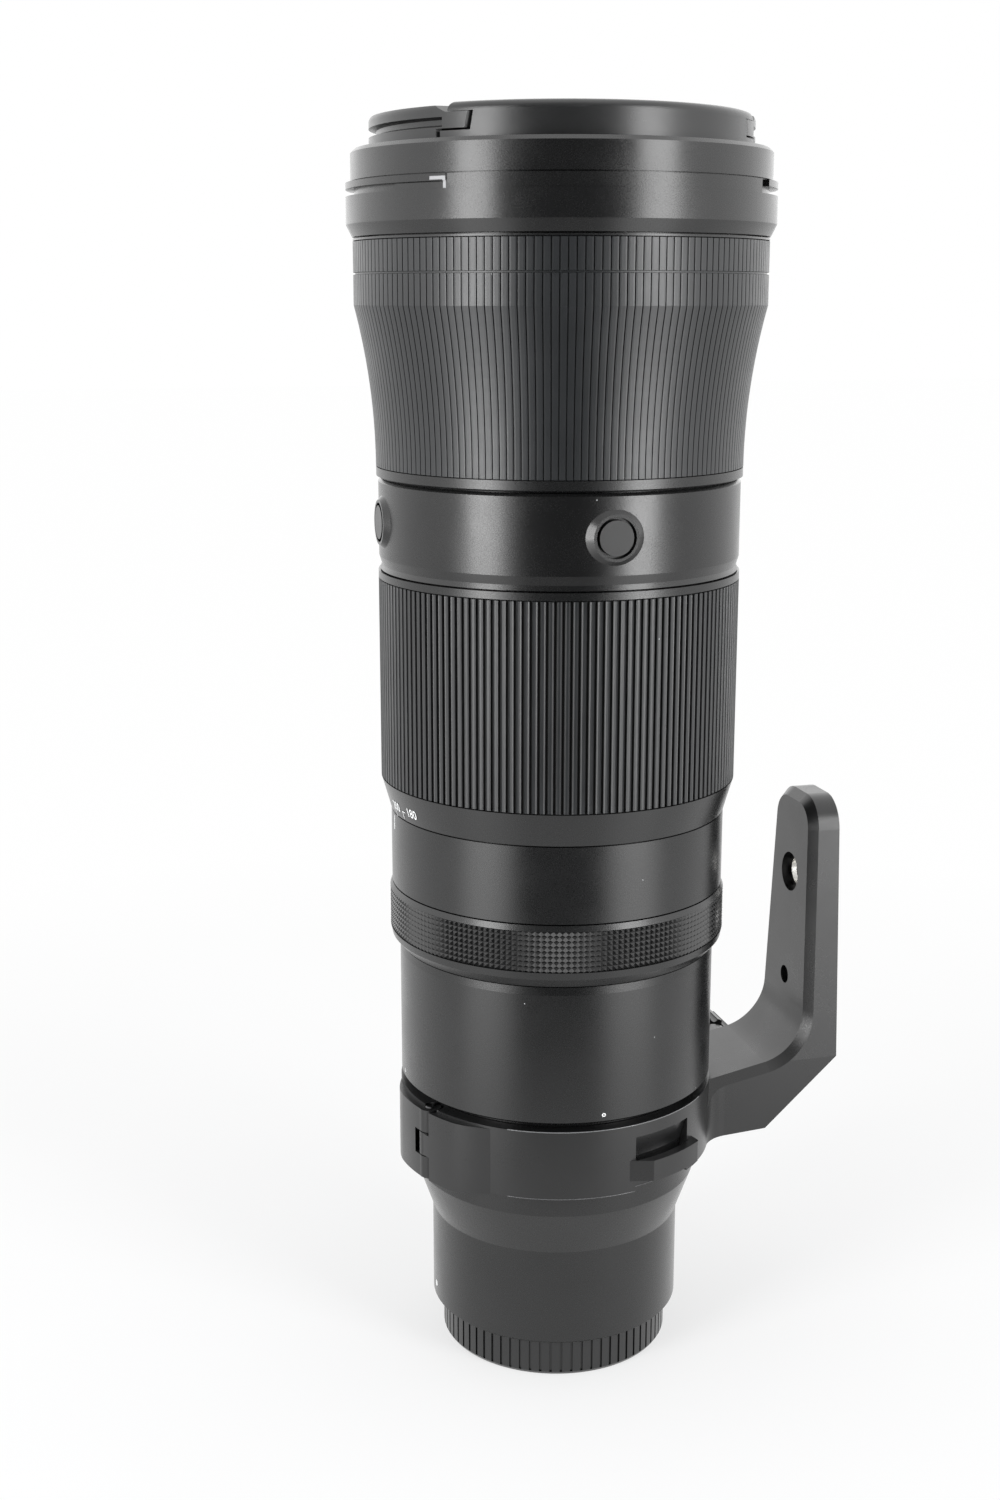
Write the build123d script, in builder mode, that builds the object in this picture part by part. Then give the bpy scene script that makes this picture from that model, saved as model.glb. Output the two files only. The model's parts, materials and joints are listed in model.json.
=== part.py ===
from build123d import *
from math import cos, degrees, hypot, radians, sin, sqrt
import os

os.makedirs("parts", exist_ok=True)

# A telephoto zoom lens stored upright: it stands on its rear cap with the front cap on.
# The optical axis is Z, the front faces up, and z = 0 is the bottom of the rear cap.
# The tripod foot is at +X, the top of the lens at -X, the switch panel at +Y.
# Lengths are millimetres, angles are degrees.

# Fits and cuts that every piece shares
fit = 0.05
running = 0.1
slide_gap = 0.3
seam = 0.4
overrun = 1.0

# Sleeves of the zoom section, from the inside out
guide_r = 40.7
guide_wall = 1.5
cam_wall = 1.6
neck_wall = 1.3
zoom_core_wall = 1.8
zoom_grip_thick = 1.6

# Radii of the barrel sections, each a wall, a gap or a step away from its neighbour
body_gap = 0.6
body_wall = 2.0
body_neck_wall = 1.1
body_top_step = 0.2
body_top_taper = 2.1
control_wall = 3.2
middle_lip = 1.1
shoulder = 3.9
seat_wall = 2.0
rear_step = 4.55
rear_wall = 2.0
zoom_foot_step = 2.5
fn_step = 0.2
fn_chamfer = 0.7
fn_lip_step = 0.3
fn_lip_height = 1.3
fn_taper_height = 3.6
fn_wall = 2.5
focus_neck_step = 3.0
focus_neck_wall = 1.8
focus_core_wall = 1.9
focus_grip_thick = 1.3
flare_rise = 5.15
tail_rise = 4.8
tail_wall = 2.25
front_step = 1.65
front_chamfer = 1.5
groove_depth = 2.2
hood_step = 1.3
rim_round = 1.0
filter_step = 0.25
edge_break = 0.5

# Heights of the barrel sections along the axis
flange_height = 11.2
rear_length = 27.3
cone_length = 12.8
seat_length = 28.1
body_length = 37.9
control_length = 17.8
middle_length = 20.3
zoom_length = 65.4
fn_length = 23.6
focus_length = 60.9
front_length = 9.8
groove_length = 3.4
hood_length = 8.2

# Joints between the barrel sections
spigot_length = 3.0
spigot_wall = 1.5
neck_spigot = 2.0
focus_neck_length = 21.6
tail_cone_start = 4.0
tail_cone_length = 20.0
cell_ledge = 2.25
cell_seat_height = 45.6
filter_length = 5.7
ledge_thick = 2.0

# Rear mount, its gasket, screws and contacts
mount_rim = 3.85
mount_thick = 1.5
mount_base_thick = 3.0
mount_tube_r = 26.9
mount_tube_wall = 2.9
mount_tube_length = 7.5
mount_lug_reach = 1.5
mount_lug_thick = 1.5
mount_lug_arc = 32.0
mount_lug_count = 4
throat_clear = 1.4
gasket_inset = 0.3
gasket_width = 1.3
gasket_thick = 0.8
mount_screw_count = 4
mount_screw_r = 0.95
mount_screw_head_r = 1.5
mount_screw_head = 0.9
mount_screw_length = 4.0
mount_screw_pitch_r = 29.0
contact_block_thick = 1.6
contact_block_height = 7.4
contact_block_arc = 70.0
contact_pin_count = 11
contact_pin_r = 0.6
contact_pin_length = 2.6
contact_pin_reach = 0.6
contact_pin_step = 5.6

# Rear cap
rear_cap_inset = 2.95
rear_cap_floor = 1.8
rear_cap_wall = 2.0
rear_cap_seam = 0.2
rear_cap_rib_depth = 0.5
rear_cap_rib_start = 0.8
rear_cap_rib_count = 70
rear_cap_groove_width = 0.7
rear_cap_lug_thick = 1.3

# Rear lens group and circuit board
rear_cell_flange = 2.5
rear_cell_tube_r = 24.0
rear_lens_r = 21.0
rear_lens_ledge = 1.2
rear_lens_drop = 4.0
rear_lens_edge = 7.3
rear_lens_bulge = 3.0
rear_cell_length = 17.3
board_in = 25.0
board_thick = 1.6
board_chip_count = 6
board_chip_size = 4.0
board_chip_height = 1.2

# Vibration reduction unit
vr_base_in = 22.0
vr_base_thick = 3.0
vr_guide_margin = 3.4
vr_guide_in = 23.5
vr_guide_thick = 3.0
vr_frame_r = 29.0
vr_frame_thick = 6.0
vr_lens_r = 20.0
vr_lens_ledge = 1.0
vr_lens_bulge = 2.0

# Focus unit
guide_floor_in = 27.0
guide_floor_thick = 3.0
focus_shaft_r = 1.5
focus_shaft_circle = 31.0
focus_frame_wall = 3.5
focus_frame_rise = 7.6
focus_frame_thick = 8.0
focus_lens_r = 21.5
focus_lens_ledge = 1.5
focus_floor = 1.0
focus_lens_bulge = 1.5
focus_sleeve_r = 4.0
motor_r = 5.5
motor_length = 12.0
screw_thread_r = 1.4
screw_socket = 6.0
nut_r = 3.6
nut_thick = 2.8

# Diaphragm
iris_rise = 37.6
iris_floor = 2.0
iris_wall = 3.2
iris_depth = 8.0
iris_in = 22.0
blade_count = 9
blade_thick = 0.25
blade_in = 25.0
blade_arc = 37.0
blade_pin_r = 0.7
blade_pin_depth = 1.2
iris_ring_rise = 4.0
iris_ring_thick = 2.0
iris_ring_width = 3.5
iris_lever = 5.0
iris_lever_width = 3.0

# Zoom drive: two carriages on pins in straight slots and helical cam slots
zoom_angle = 70.0
pin_count = 3
pin_r = 1.5
pin_root = 2.0
relay_rise = 7.9
relay_travel = 16.0
relay_thick = 14.0
relay_lens_r = 26.0
relay_lens_edge = 8.0
relay_lens_bulge = 3.0
variator_rise = 22.9
variator_travel = 24.0
variator_thick = 14.0
variator_lens_r = 33.0
variator_lens_edge = 6.0
variator_lens_bulge = 3.5
carriage_ledge = 1.5
carriage_floor = 2.0
variator_pin_start = 30.0
relay_pin_start = 90.0
cam_margin = 15.4
cam_top_margin = 2.8
key_angle = 15.0
key_width = 6.0
key_height = 6.0
key_rise = 15.4
key_reach = 1.0
guide_flange_thick = 2.0

# Zoom ring and its ribbed rubber
zoom_foot_length = 9.1
zoom_lip_length = 2.3
zoom_rib_count = 150
zoom_groove_width = 0.7
zoom_groove_depth = 0.75

# Control ring
control_foot_step = 0.1
control_facet_length = 2.9
control_facet_step = 0.4
control_cone_length = 4.9
control_bevel = 1.9
knurl_depth = 0.45

# Focus ring and its ribbed rubber
focus_foot_length = 3.1
focus_foot_step = 0.8
flare_height = 44.1
focus_top_lip = 0.5

# Front group
front_cell_length = 28.0
front_cell_fit_wall = 2.2
cell_step = 1.0
cell_floor = 1.5
lens_3_edge = 5.5
lens_3_bulge_low = 0.5
lens_3_bulge_high = 2.5
lens_2_rise = 10.0
lens_2_edge = 5.0
lens_2_bulge = 2.0
lens_1_rise = 19.0
lens_1_edge = 4.5
lens_1_bulge = 5.0
name_ring_width = 3.7
name_ring_thick = 2.5

# Hood bayonet on the front ring
hood_lug_thick = 1.6
hood_lug_arc = 83.3
hood_lug_angle = 320.7
hood_notch_arc = 4.4
hood_flush_step = 0.3
hood_ledge_arc = 17.0
hood_ledge_gap = 0.3

# Function buttons around the front band
fn_button_count = 4
fn_button_drop = 10.7
boss_r = 7.9
boss_top_r = 5.8
boss_reach = 1.0
boss_root = 1.0
key_r = 4.35
key_well_r = 5.1
key_well_depth = 1.4
key_proud = 0.1
key_flange_r = 5.4
key_flange_thick = 0.6
key_flange_drop = 0.4

# Switch panel with one button and two sliding switches
panel_arc = 52.0
panel_thick = 1.6
panel_height = 30.0
panel_drop = 3.8
side_button_r = 3.6
side_button_rise = 23.0
side_button_proud = 0.8
side_button_flange = 1.0
side_button_flange_thick = 0.4
side_button_travel = 0.6
side_well_depth = 1.3
switch_rise = 9.5
switch_spread = 12.0
switch_width = 4.0
switch_length = 5.0
switch_proud = 1.3
switch_travel = 3.5
switch_foot_width = 7.0
switch_foot_length = 8.0
switch_foot_thick = 0.6
switch_pocket_depth = 1.0

# Tripod collar
collar_gap = 0.4
collar_wall = 3.7
collar_height = 19.0
collar_drop = 2.1
hinge_angle = 200.7
hinge_out = 2.8
knuckle_r = 3.0
knuckle_gap = 1.3
knuckle_end_gap = 0.3
knuckle_low_height = 6.4
knuckle_mid_height = 6.8
knuckle_top_height = 6.5
hinge_pin_r = 1.3
hinge_pin_proud = 0.3
lobe_drop = 1.4
lobe_swell = 2.0
lobe_arc = 35.0
lobe_full_share = 0.42
clamp_overlap = 40.0
eyelet_angle = 64.0
eyelet_slot_arc = 26.0
eyelet_post = 3.0
eyelet_reach = 3.0
eyelet_near_slant = 6.8
eyelet_far_slant = 1.8
eyelet_round = 0.8
eyelet_slot_out = 0.6
eyelet_height = 5.8
eyelet_lift = 3.2
eyelet_pocket_depth = 2.4
eyelet_pocket_height = 15.4
eyelet_pocket_lip = 0.7

# Tripod foot, one casting with the collar's body
foot_reach = 78.7
foot_thick = 8.4
foot_top = 154.0
foot_draft = 1.1
foot_top_half = 12.6
foot_root_half = 17.0
foot_corner = 9.0
foot_bevel = 2.3
arm_fillet_z = 93.0
arm_mid_x = 58.0
arm_mid_z = 79.0
arm_root_x = 35.0
arm_root_z = 74.3
arm_knee_z = 79.5
arm_under_x = 57.5
arm_under_rise = 1.5
arm_blend = 8.0
large_hole_z = 130.2
large_hole_r = 5.6
large_bush_r_in = 4.0
large_bush_length = 6.1
large_bush_inset = 0.3
small_hole_z = 99.2
small_hole_r = 2.6
small_hole_mouth = 0.75

# Clamp of the collar: a lug on the strap beside the arm, a screw and a knob
split_gap = 0.5
lug_thick = 7.5
lug_r = 7.8
clamp_x = 56.7
clamp_screw_r = 2.5
clamp_screw_entry = 1.2
clamp_mouth_r = 3.6
clamp_mouth_depth = 1.6
clamp_tap_r = 2.1
clamp_tap_depth = 12.0
clamp_knob_socket = 9.0
knob_r = 9.0
knob_length = 13.0
knob_gap = 0.4
knob_hub_r = 5.5
knob_hub_length = 1.5
knob_flute_count = 14
knob_flute_r = 1.2
knob_edge = 1.0

# Front cap with two sprung tabs
front_cap_seam = 0.1
front_cap_step = 1.4
front_cap_height = 8.2
front_cap_round = 2.0
front_cap_skirt = 3.5
front_cap_skirt_gap = 0.3
front_cap_bore_r = 25.0
front_cap_plate = 2.0
front_cap_rim = 3.2
front_cap_web = 1.6
tab_angle = 4.0
tab_travel = 1.8
tab_gap = 0.35
tab_side_gap = 1.1
tab_low_gap = 0.5
tab_mid_lean = 0.6
tab_top_lean = 3.1
tab_low_height = 2.2
tab_mid_height = 3.7
tab_top_height = 1.6
tab_low_half = 25.9
tab_mid_half = 32.5
tab_top_half = 28.3
tab_low_in = 40.0
tab_mid_in = 31.0
tab_top_in = 37.0
tab_groove_rise = 0.5
tab_groove_height = 2.0
tab_groove_depth = 1.9
tab_groove_slope = 0.4
tab_groove_half = 27.5
tab_jaw_half = 16.0
tab_jaw_drop = 3.0
spring_r = 1.6
spring_in = 1.0
spring_length = 5.0
spring_spread = 12.0

# Radii that follow
guide_in = guide_r - guide_wall
cam_in = guide_r + slide_gap
cam_r = cam_in + cam_wall
neck_in = cam_r + slide_gap
neck_r = neck_in + neck_wall
zoom_in = neck_r + slide_gap
zoom_core_r = zoom_in + zoom_core_wall
zoom_r = zoom_core_r + zoom_grip_thick
body_in = guide_r + body_gap
body_r = body_in + body_wall
body_neck_r = body_in + body_neck_wall
control_in = body_neck_r + slide_gap
control_r = control_in + control_wall
middle_r = neck_r + middle_lip
seat_r = body_r - shoulder
seat_in = seat_r - seat_wall
rear_r = seat_r - rear_step
rear_in = rear_r - rear_wall
mount_r = rear_r - mount_rim
throat_r = mount_tube_r - throat_clear
rear_cap_r = rear_r - rear_cap_inset
fn_r = zoom_r - fn_step
fn_in = fn_r - fn_wall
focus_neck_r = fn_r - focus_neck_step
focus_neck_in = focus_neck_r - focus_neck_wall
focus_in = focus_neck_r + slide_gap
focus_core_r = focus_in + focus_core_wall
focus_r = focus_core_r + focus_grip_thick
focus_top_r = focus_r + flare_rise
tail_r = focus_neck_r + tail_rise
cell_bore_r = tail_r - tail_wall
front_r = focus_top_r + front_step
groove_r = front_r - groove_depth
hood_r = front_r - hood_step
filter_r = cell_bore_r + filter_step
front_cap_r = filter_r + front_cap_step

# Heights that follow
z_flange = flange_height
z_cone = z_flange + rear_length
z_seat = z_cone + cone_length
z_body = z_seat + seat_length
z_control = z_body + body_length
z_middle = z_control + control_length
z_zoom = z_middle + middle_length
z_fn = z_zoom + zoom_length
z_focus = z_fn + fn_length
z_front = z_focus + focus_length
z_groove = z_front + front_length
z_hood = z_groove + groove_length
z_rim = z_hood + hood_length
z_guide = z_body + ledge_thick


def save(piece, name):
    """Label a finished piece and write it as one STEP file."""
    piece.part.label = name
    export_step(piece.part, f"parts/{name}.step")


def axis_plane(angle):
    """The plane through the optical axis at an angle: x outward, y up."""
    a = radians(angle)
    return Plane(origin=(0, 0, 0), x_dir=(cos(a), sin(a), 0), z_dir=(sin(a), -cos(a), 0))


def radial_plane(angle, radius, height):
    """The plane that faces outward at an angle: x along the turn, y up."""
    a = radians(angle)
    place = (radius * cos(a), radius * sin(a), height)
    return Plane(origin=place, x_dir=(-sin(a), cos(a), 0), z_dir=(cos(a), sin(a), 0))


def turned_plane(angle, height):
    """A level plane whose x axis points outward at an angle."""
    a = radians(angle)
    return Plane(origin=(0, 0, height), x_dir=(cos(a), sin(a), 0), z_dir=(0, 0, 1))


def spread(count, start=0.0):
    """Equally spaced angles round the axis."""
    return [start + 360.0 * i / count for i in range(count)]


def lathe(points, mode=Mode.ADD):
    """Revolve a closed outline of (radius, height) points about the axis."""
    with BuildSketch(Plane.XZ) as profile:
        with BuildLine():
            Polyline(*points, close=True)
        make_face()
    revolve(profile.sketch, axis=Axis.Z, mode=mode)


def sector(points, start, arc, mode=Mode.ADD):
    """Revolve a closed outline of (radius, height) points through part of a turn."""
    with BuildSketch(axis_plane(start)) as profile:
        with BuildLine():
            Polyline(*points, close=True)
        make_face()
    revolve(profile.sketch, axis=Axis.Z, revolution_arc=arc, mode=mode)


def block(inner, outer, low, high):
    """The four corners of a ring's section."""
    return [(inner, low), (outer, low), (outer, high), (inner, high)]


def tube(inner, outer, low, high, mode=Mode.ADD):
    """A plain sleeve about the axis."""
    with BuildSketch(Plane.XY.offset(low)) as profile:
        Circle(outer)
        Circle(inner, mode=Mode.SUBTRACT)
    extrude(profile.sketch, amount=high - low, mode=mode)


def disc(radius, low, high, mode=Mode.ADD):
    """A plain disc about the axis."""
    with BuildSketch(Plane.XY.offset(low)) as profile:
        Circle(radius)
    extrude(profile.sketch, amount=high - low, mode=mode)


def stud(angle, height, radius, inner, outer, mode=Mode.ADD):
    """A round pin or hole that points outward."""
    with BuildSketch(radial_plane(angle, inner, height)) as profile:
        Circle(radius)
    extrude(profile.sketch, amount=outer - inner, mode=mode)


def brick(angle, height, width, tall, inner, outer, mode=Mode.ADD):
    """A rectangular peg or pocket that points outward."""
    with BuildSketch(radial_plane(angle, inner, height)) as profile:
        Rectangle(width, tall)
    extrude(profile.sketch, amount=outer - inner, mode=mode)


def post(angle, circle, radius, low, high, mode=Mode.ADD):
    """A round post or hole along the axis, off centre."""
    with BuildSketch(turned_plane(angle, low)) as profile:
        with Locations((circle, 0)):
            Circle(radius)
    extrude(profile.sketch, amount=high - low, mode=mode)


def glass(radius, rim, low, high, bulge_low, bulge_high):
    """A lens element with flat rims at low and high; a negative bulge is hollow."""
    edge = radius - rim
    with BuildSketch(Plane.XZ) as profile:
        with BuildLine():
            Line((0, low - bulge_low), (0, high + bulge_high))
            TangentArc((0, high + bulge_high), (edge, high), tangent=(1, 0))
            Polyline((edge, high), (radius, high), (radius, low), (edge, low))
            TangentArc((0, low - bulge_low), (edge, low), tangent=(1, 0))
        make_face()
    revolve(profile.sketch, axis=Axis.Z)


def ribbed_sleeve(inner, outer, low, high, count, width, depth):
    """A sleeve with straight grooves round its outside."""
    with BuildSketch(Plane.XY.offset(low)) as profile:
        Circle(outer)
        Circle(inner, mode=Mode.SUBTRACT)
        with PolarLocations(outer, count):
            Rectangle(2 * depth, width, mode=Mode.SUBTRACT)
    extrude(profile.sketch, amount=high - low)


def flare_outline(inner_start, inner_end, outer_start, outer_end, low, high):
    """A sleeve that widens along a concave curve, then runs straight up."""
    bend = z_focus + flare_height
    with BuildSketch(Plane.XZ) as profile:
        with BuildLine():
            TangentArc((outer_start, low), (outer_end, bend), tangent=(0, 1))
            Line((outer_end, bend), (outer_end, high))
            Line((outer_end, high), (inner_end, high))
            Line((inner_end, high), (inner_end, bend))
            TangentArc((inner_start, low), (inner_end, bend), tangent=(0, 1))
            Line((inner_start, low), (outer_start, low))
        make_face()
    revolve(profile.sketch, axis=Axis.Z)


# Rear barrel: the narrow end, the cone up to the collar seat and the mount's base
z_base = z_flange + mount_thick
z_base_top = z_base + mount_base_thick
spigot_r = seat_in - fit
gasket_in = mount_r + gasket_inset
with BuildPart() as rear_barrel:
    lathe([
        (mount_r + fit, z_flange),
        (rear_r - edge_break, z_flange),
        (rear_r, z_flange + edge_break),
        (rear_r, z_cone),
        (seat_r, z_seat),
        (spigot_r, z_seat),
        (spigot_r, z_seat + spigot_length),
        (spigot_r - spigot_wall, z_seat + spigot_length),
        (spigot_r - spigot_wall, z_seat),
        (rear_in, z_cone),
        (rear_in, z_base_top),
        (throat_r, z_base_top),
        (throat_r, z_base),
        (mount_r + fit, z_base),
    ])
    tube(gasket_in, gasket_in + gasket_width, z_flange - overrun, z_flange + gasket_thick,
         mode=Mode.SUBTRACT)
    for angle in spread(mount_screw_count, 45.0):
        post(angle, mount_screw_pitch_r, mount_screw_r + fit, z_base - overrun,
             z_flange + mount_screw_length + fit, mode=Mode.SUBTRACT)
save(rear_barrel, "rear_barrel")

with BuildPart() as mount_gasket:
    tube(gasket_in + fit, gasket_in + gasket_width - fit, z_flange,
         z_flange + gasket_thick - fit)
save(mount_gasket, "mount_gasket")

# Lens mount: a metal flange with a bayonet tube below it
mount_throat_r = mount_tube_r - mount_tube_wall
z_tube = z_flange - mount_tube_length
bayonet_r = mount_tube_r + mount_lug_reach
with BuildPart() as lens_mount:
    lathe([
        (mount_throat_r, z_tube),
        (mount_tube_r, z_tube),
        (mount_tube_r, z_flange),
        (mount_r, z_flange),
        (mount_r, z_base - fit),
        (mount_throat_r, z_base - fit),
    ])
    for angle in spread(mount_lug_count, -mount_lug_arc / 2):
        sector(block(mount_tube_r - overrun, bayonet_r, z_tube, z_tube + mount_lug_thick),
               angle, mount_lug_arc)
    for angle in spread(mount_screw_count, 45.0):
        post(angle, mount_screw_pitch_r, mount_screw_r + fit, z_flange - overrun,
             z_base + overrun, mode=Mode.SUBTRACT)
        post(angle, mount_screw_pitch_r, mount_screw_head_r + fit, z_flange - overrun,
             z_flange + mount_screw_head, mode=Mode.SUBTRACT)
save(lens_mount, "lens_mount")

with BuildPart() as mount_screws:
    for angle in spread(mount_screw_count, 45.0):
        post(angle, mount_screw_pitch_r, mount_screw_head_r, z_flange,
             z_flange + mount_screw_head)
        post(angle, mount_screw_pitch_r, mount_screw_r, z_flange + mount_screw_head,
             z_flange + mount_screw_length)
save(mount_screws, "mount_screws")

# Contact block inside the mount's throat, with a row of sprung pins
block_out = mount_throat_r - fit
block_in = block_out - contact_block_thick
z_block = z_tube + contact_pin_reach
block_mid = (block_in + block_out) / 2
pin_span = contact_pin_step * (contact_pin_count - 1)
pin_angles = [i * contact_pin_step - pin_span / 2 for i in range(contact_pin_count)]
with BuildPart() as contact_block:
    sector(block(block_in, block_out, z_block, z_block + contact_block_height),
           -contact_block_arc / 2, contact_block_arc)
    for angle in pin_angles:
        post(angle, block_mid, contact_pin_r + fit, z_block - overrun,
             z_tube + contact_pin_length + fit, mode=Mode.SUBTRACT)
save(contact_block, "contact_block")

with BuildPart() as contact_pins:
    for angle in pin_angles:
        post(angle, block_mid, contact_pin_r, z_tube, z_tube + contact_pin_length)
save(contact_pins, "contact_pins")

# Rear lens cell, its element and the main circuit board that lies on its flange
z_cell_flange = z_base_top + rear_cell_flange
z_rear_lens = z_base_top + rear_lens_drop
with BuildPart() as rear_lens_cell:
    lathe([
        (rear_lens_r - rear_lens_ledge, z_base_top),
        (rear_in - fit, z_base_top),
        (rear_in - fit, z_cell_flange),
        (rear_cell_tube_r, z_cell_flange),
        (rear_cell_tube_r, z_base_top + rear_cell_length),
        (rear_lens_r, z_base_top + rear_cell_length),
        (rear_lens_r, z_rear_lens),
        (rear_lens_r - rear_lens_ledge, z_rear_lens),
    ])
save(rear_lens_cell, "rear_lens_cell")

with BuildPart() as rear_lens:
    glass(rear_lens_r - fit, rear_lens_ledge, z_rear_lens, z_rear_lens + rear_lens_edge,
          rear_lens_bulge, rear_lens_bulge)
save(rear_lens, "rear_lens")

with BuildPart() as circuit_board:
    tube(board_in, rear_in - fit, z_cell_flange, z_cell_flange + board_thick)
    for angle in spread(board_chip_count):
        with BuildSketch(turned_plane(angle, z_cell_flange + board_thick)):
            with Locations(((board_in + rear_in) / 2, 0)):
                Rectangle(board_chip_size, board_chip_size)
        extrude(amount=board_chip_height)
save(circuit_board, "circuit_board")

# Body barrel: the collar's seat, the name section and the neck that carries the control ring
z_neck_top = z_middle + neck_spigot
z_panel = z_body + panel_drop
z_side_button = z_panel + side_button_rise
z_switch = z_panel + switch_rise
panel_angle = 90.0
switch_offset = degrees(switch_spread / 2 / body_r)
switch_angles = {
    "focus_mode_switch": panel_angle - switch_offset,
    "focus_limit_switch": panel_angle + switch_offset,
}
switch_mid_z = z_switch + switch_travel / 2
pocket_length = switch_foot_length + switch_travel + 2 * slide_gap
with BuildPart() as body_barrel:
    lathe([
        (seat_in, z_seat),
        (seat_r, z_seat),
        (seat_r, z_body),
        (body_r - edge_break, z_body),
        (body_r, z_body + edge_break),
        (body_r, z_control - body_top_taper),
        (body_r - body_top_step, z_control),
        (body_neck_r, z_control),
        (body_neck_r, z_neck_top),
        (body_in, z_neck_top),
        (body_in, z_guide),
        (seat_in, z_guide),
    ])
    stud(panel_angle, z_side_button, side_button_r + side_button_flange + slide_gap,
         body_r - side_well_depth, body_r + overrun, mode=Mode.SUBTRACT)
    for angle in switch_angles.values():
        brick(angle, switch_mid_z, switch_foot_width + 2 * slide_gap, pocket_length,
              body_r - switch_pocket_depth, body_r + overrun, mode=Mode.SUBTRACT)
save(body_barrel, "body_barrel")

# Switch panel: a curved plate on the side of the body barrel
panel_r = body_r + panel_thick
slot_length = switch_length + switch_travel + 2 * slide_gap
with BuildPart() as switch_panel:
    sector(block(body_r + fit, panel_r, z_panel, z_panel + panel_height),
           panel_angle - panel_arc / 2, panel_arc)
    stud(panel_angle, z_side_button, side_button_r + running, body_r - overrun,
         panel_r + overrun, mode=Mode.SUBTRACT)
    for angle in switch_angles.values():
        brick(angle, switch_mid_z, switch_width + 2 * running, slot_length,
              body_r - overrun, panel_r + overrun, mode=Mode.SUBTRACT)
save(switch_panel, "switch_panel")

side_foot = body_r - side_well_depth + side_button_travel + fit
with BuildPart() as fn_button:
    stud(panel_angle, z_side_button, side_button_r + side_button_flange, side_foot,
         side_foot + side_button_flange_thick)
    stud(panel_angle, z_side_button, side_button_r, side_foot, panel_r + side_button_proud)
save(fn_button, "fn_button")

foot_low = body_r - switch_pocket_depth + fit
for name, angle in switch_angles.items():
    with BuildPart() as switch:
        brick(angle, z_switch, switch_foot_width, switch_foot_length, foot_low,
              foot_low + switch_foot_thick)
        brick(angle, z_switch, switch_width, switch_length, foot_low,
              panel_r + switch_proud)
    save(switch, name)

# Control ring: it turns on the body barrel's neck and has a shallow recess for its knurl
with BuildPart() as control_ring:
    lathe([
        (control_in, z_control + seam),
        (body_r + control_foot_step, z_control + seam),
        (control_r - control_facet_step, z_control + control_facet_length),
        (control_r, z_control + control_cone_length),
        (control_r - knurl_depth, z_control + control_cone_length),
        (control_r - knurl_depth, z_middle - control_bevel),
        (control_r, z_middle - control_bevel),
        (middle_r, z_middle - seam),
        (control_in, z_middle - seam),
    ])
save(control_ring, "control_ring")

# Middle barrel: the band with the zoom index and the neck that carries the zoom ring
key_z = z_zoom + key_rise
key_turn = degrees((key_width / 2 + slide_gap) / neck_in)
with BuildPart() as middle_barrel:
    lathe([
        (body_neck_r + fit, z_middle),
        (middle_r, z_middle),
        (middle_r, z_zoom),
        (neck_r, z_zoom),
        (neck_r, z_fn + neck_spigot),
        (neck_in, z_fn + neck_spigot),
        (neck_in, z_neck_top),
        (body_neck_r + fit, z_neck_top),
    ])
    sector(block(neck_in - overrun, neck_r + overrun, key_z - key_height / 2 - slide_gap,
                 key_z + key_height / 2 + slide_gap),
           key_angle - key_turn, zoom_angle + 2 * key_turn, mode=Mode.SUBTRACT)
save(middle_barrel, "middle_barrel")

# Guide tube: fixed inside the barrel, with straight slots for the carriages' pins
relay_z = z_zoom + relay_rise
variator_z = z_zoom + variator_rise
z_rim_band = z_fn + neck_spigot
z_guide_flange = z_rim_band + ledge_thick
relay_angles = spread(pin_count, relay_pin_start)
variator_angles = spread(pin_count, variator_pin_start)


def straight_slots(angles, start, travel):
    """Cut slots along the axis through the guide tube."""
    low = min(start, start + travel)
    for angle in angles:
        middle = low + abs(travel) / 2
        with BuildSketch(radial_plane(angle, guide_r - guide_wall / 2, middle)) as profile:
            SlotCenterToCenter(abs(travel), 2 * (pin_r + running), rotation=90)
        extrude(profile.sketch, amount=guide_wall, both=True, mode=Mode.SUBTRACT)


with BuildPart() as guide_tube:
    lathe([
        (guide_floor_in, z_guide),
        (guide_r, z_guide),
        (guide_r, z_guide_flange),
        (fn_in - fit, z_guide_flange),
        (fn_in - fit, z_guide_flange + guide_flange_thick),
        (guide_in, z_guide_flange + guide_flange_thick),
        (guide_in, z_guide + guide_floor_thick),
        (guide_floor_in, z_guide + guide_floor_thick),
    ])
    straight_slots(relay_angles, relay_z, -relay_travel)
    straight_slots(variator_angles, variator_z, variator_travel)
save(guide_tube, "guide_tube")


slot_half = pin_r + 2 * running
slot_end_r = slot_half + fit


def cam_path(start, travel):
    """A helical bar along the way of a pin that moves by the travel over the zoom angle."""
    rise = abs(travel)
    with BuildLine(Plane.XY.offset(start + min(0, travel))) as path:
        Helix(pitch=rise * 360 / zoom_angle, height=rise, radius=cam_in + cam_wall / 2)
    begin = path.line @ 0
    with BuildPart() as bar:
        with BuildSketch(Plane(origin=begin, x_dir=(1, 0, 0), z_dir=path.line % 0)) as profile:
            Rectangle(2 * cam_wall, 2 * slot_half)
        sweep(profile.sketch, path=path.line, is_frenet=True)
    if travel > 0:
        return bar.part.mirror(Plane.XZ)
    return bar.part.rotate(Axis.Z, -zoom_angle)


def cam_slot(bar, angle, start, travel):
    """Cut one helical slot with round ends."""
    add(bar.rotate(Axis.Z, angle), mode=Mode.SUBTRACT)
    stud(angle, start, slot_end_r, cam_in - cam_wall, cam_r + cam_wall, mode=Mode.SUBTRACT)
    stud(angle - zoom_angle, start + travel, slot_end_r, cam_in - cam_wall, cam_r + cam_wall,
         mode=Mode.SUBTRACT)


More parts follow.
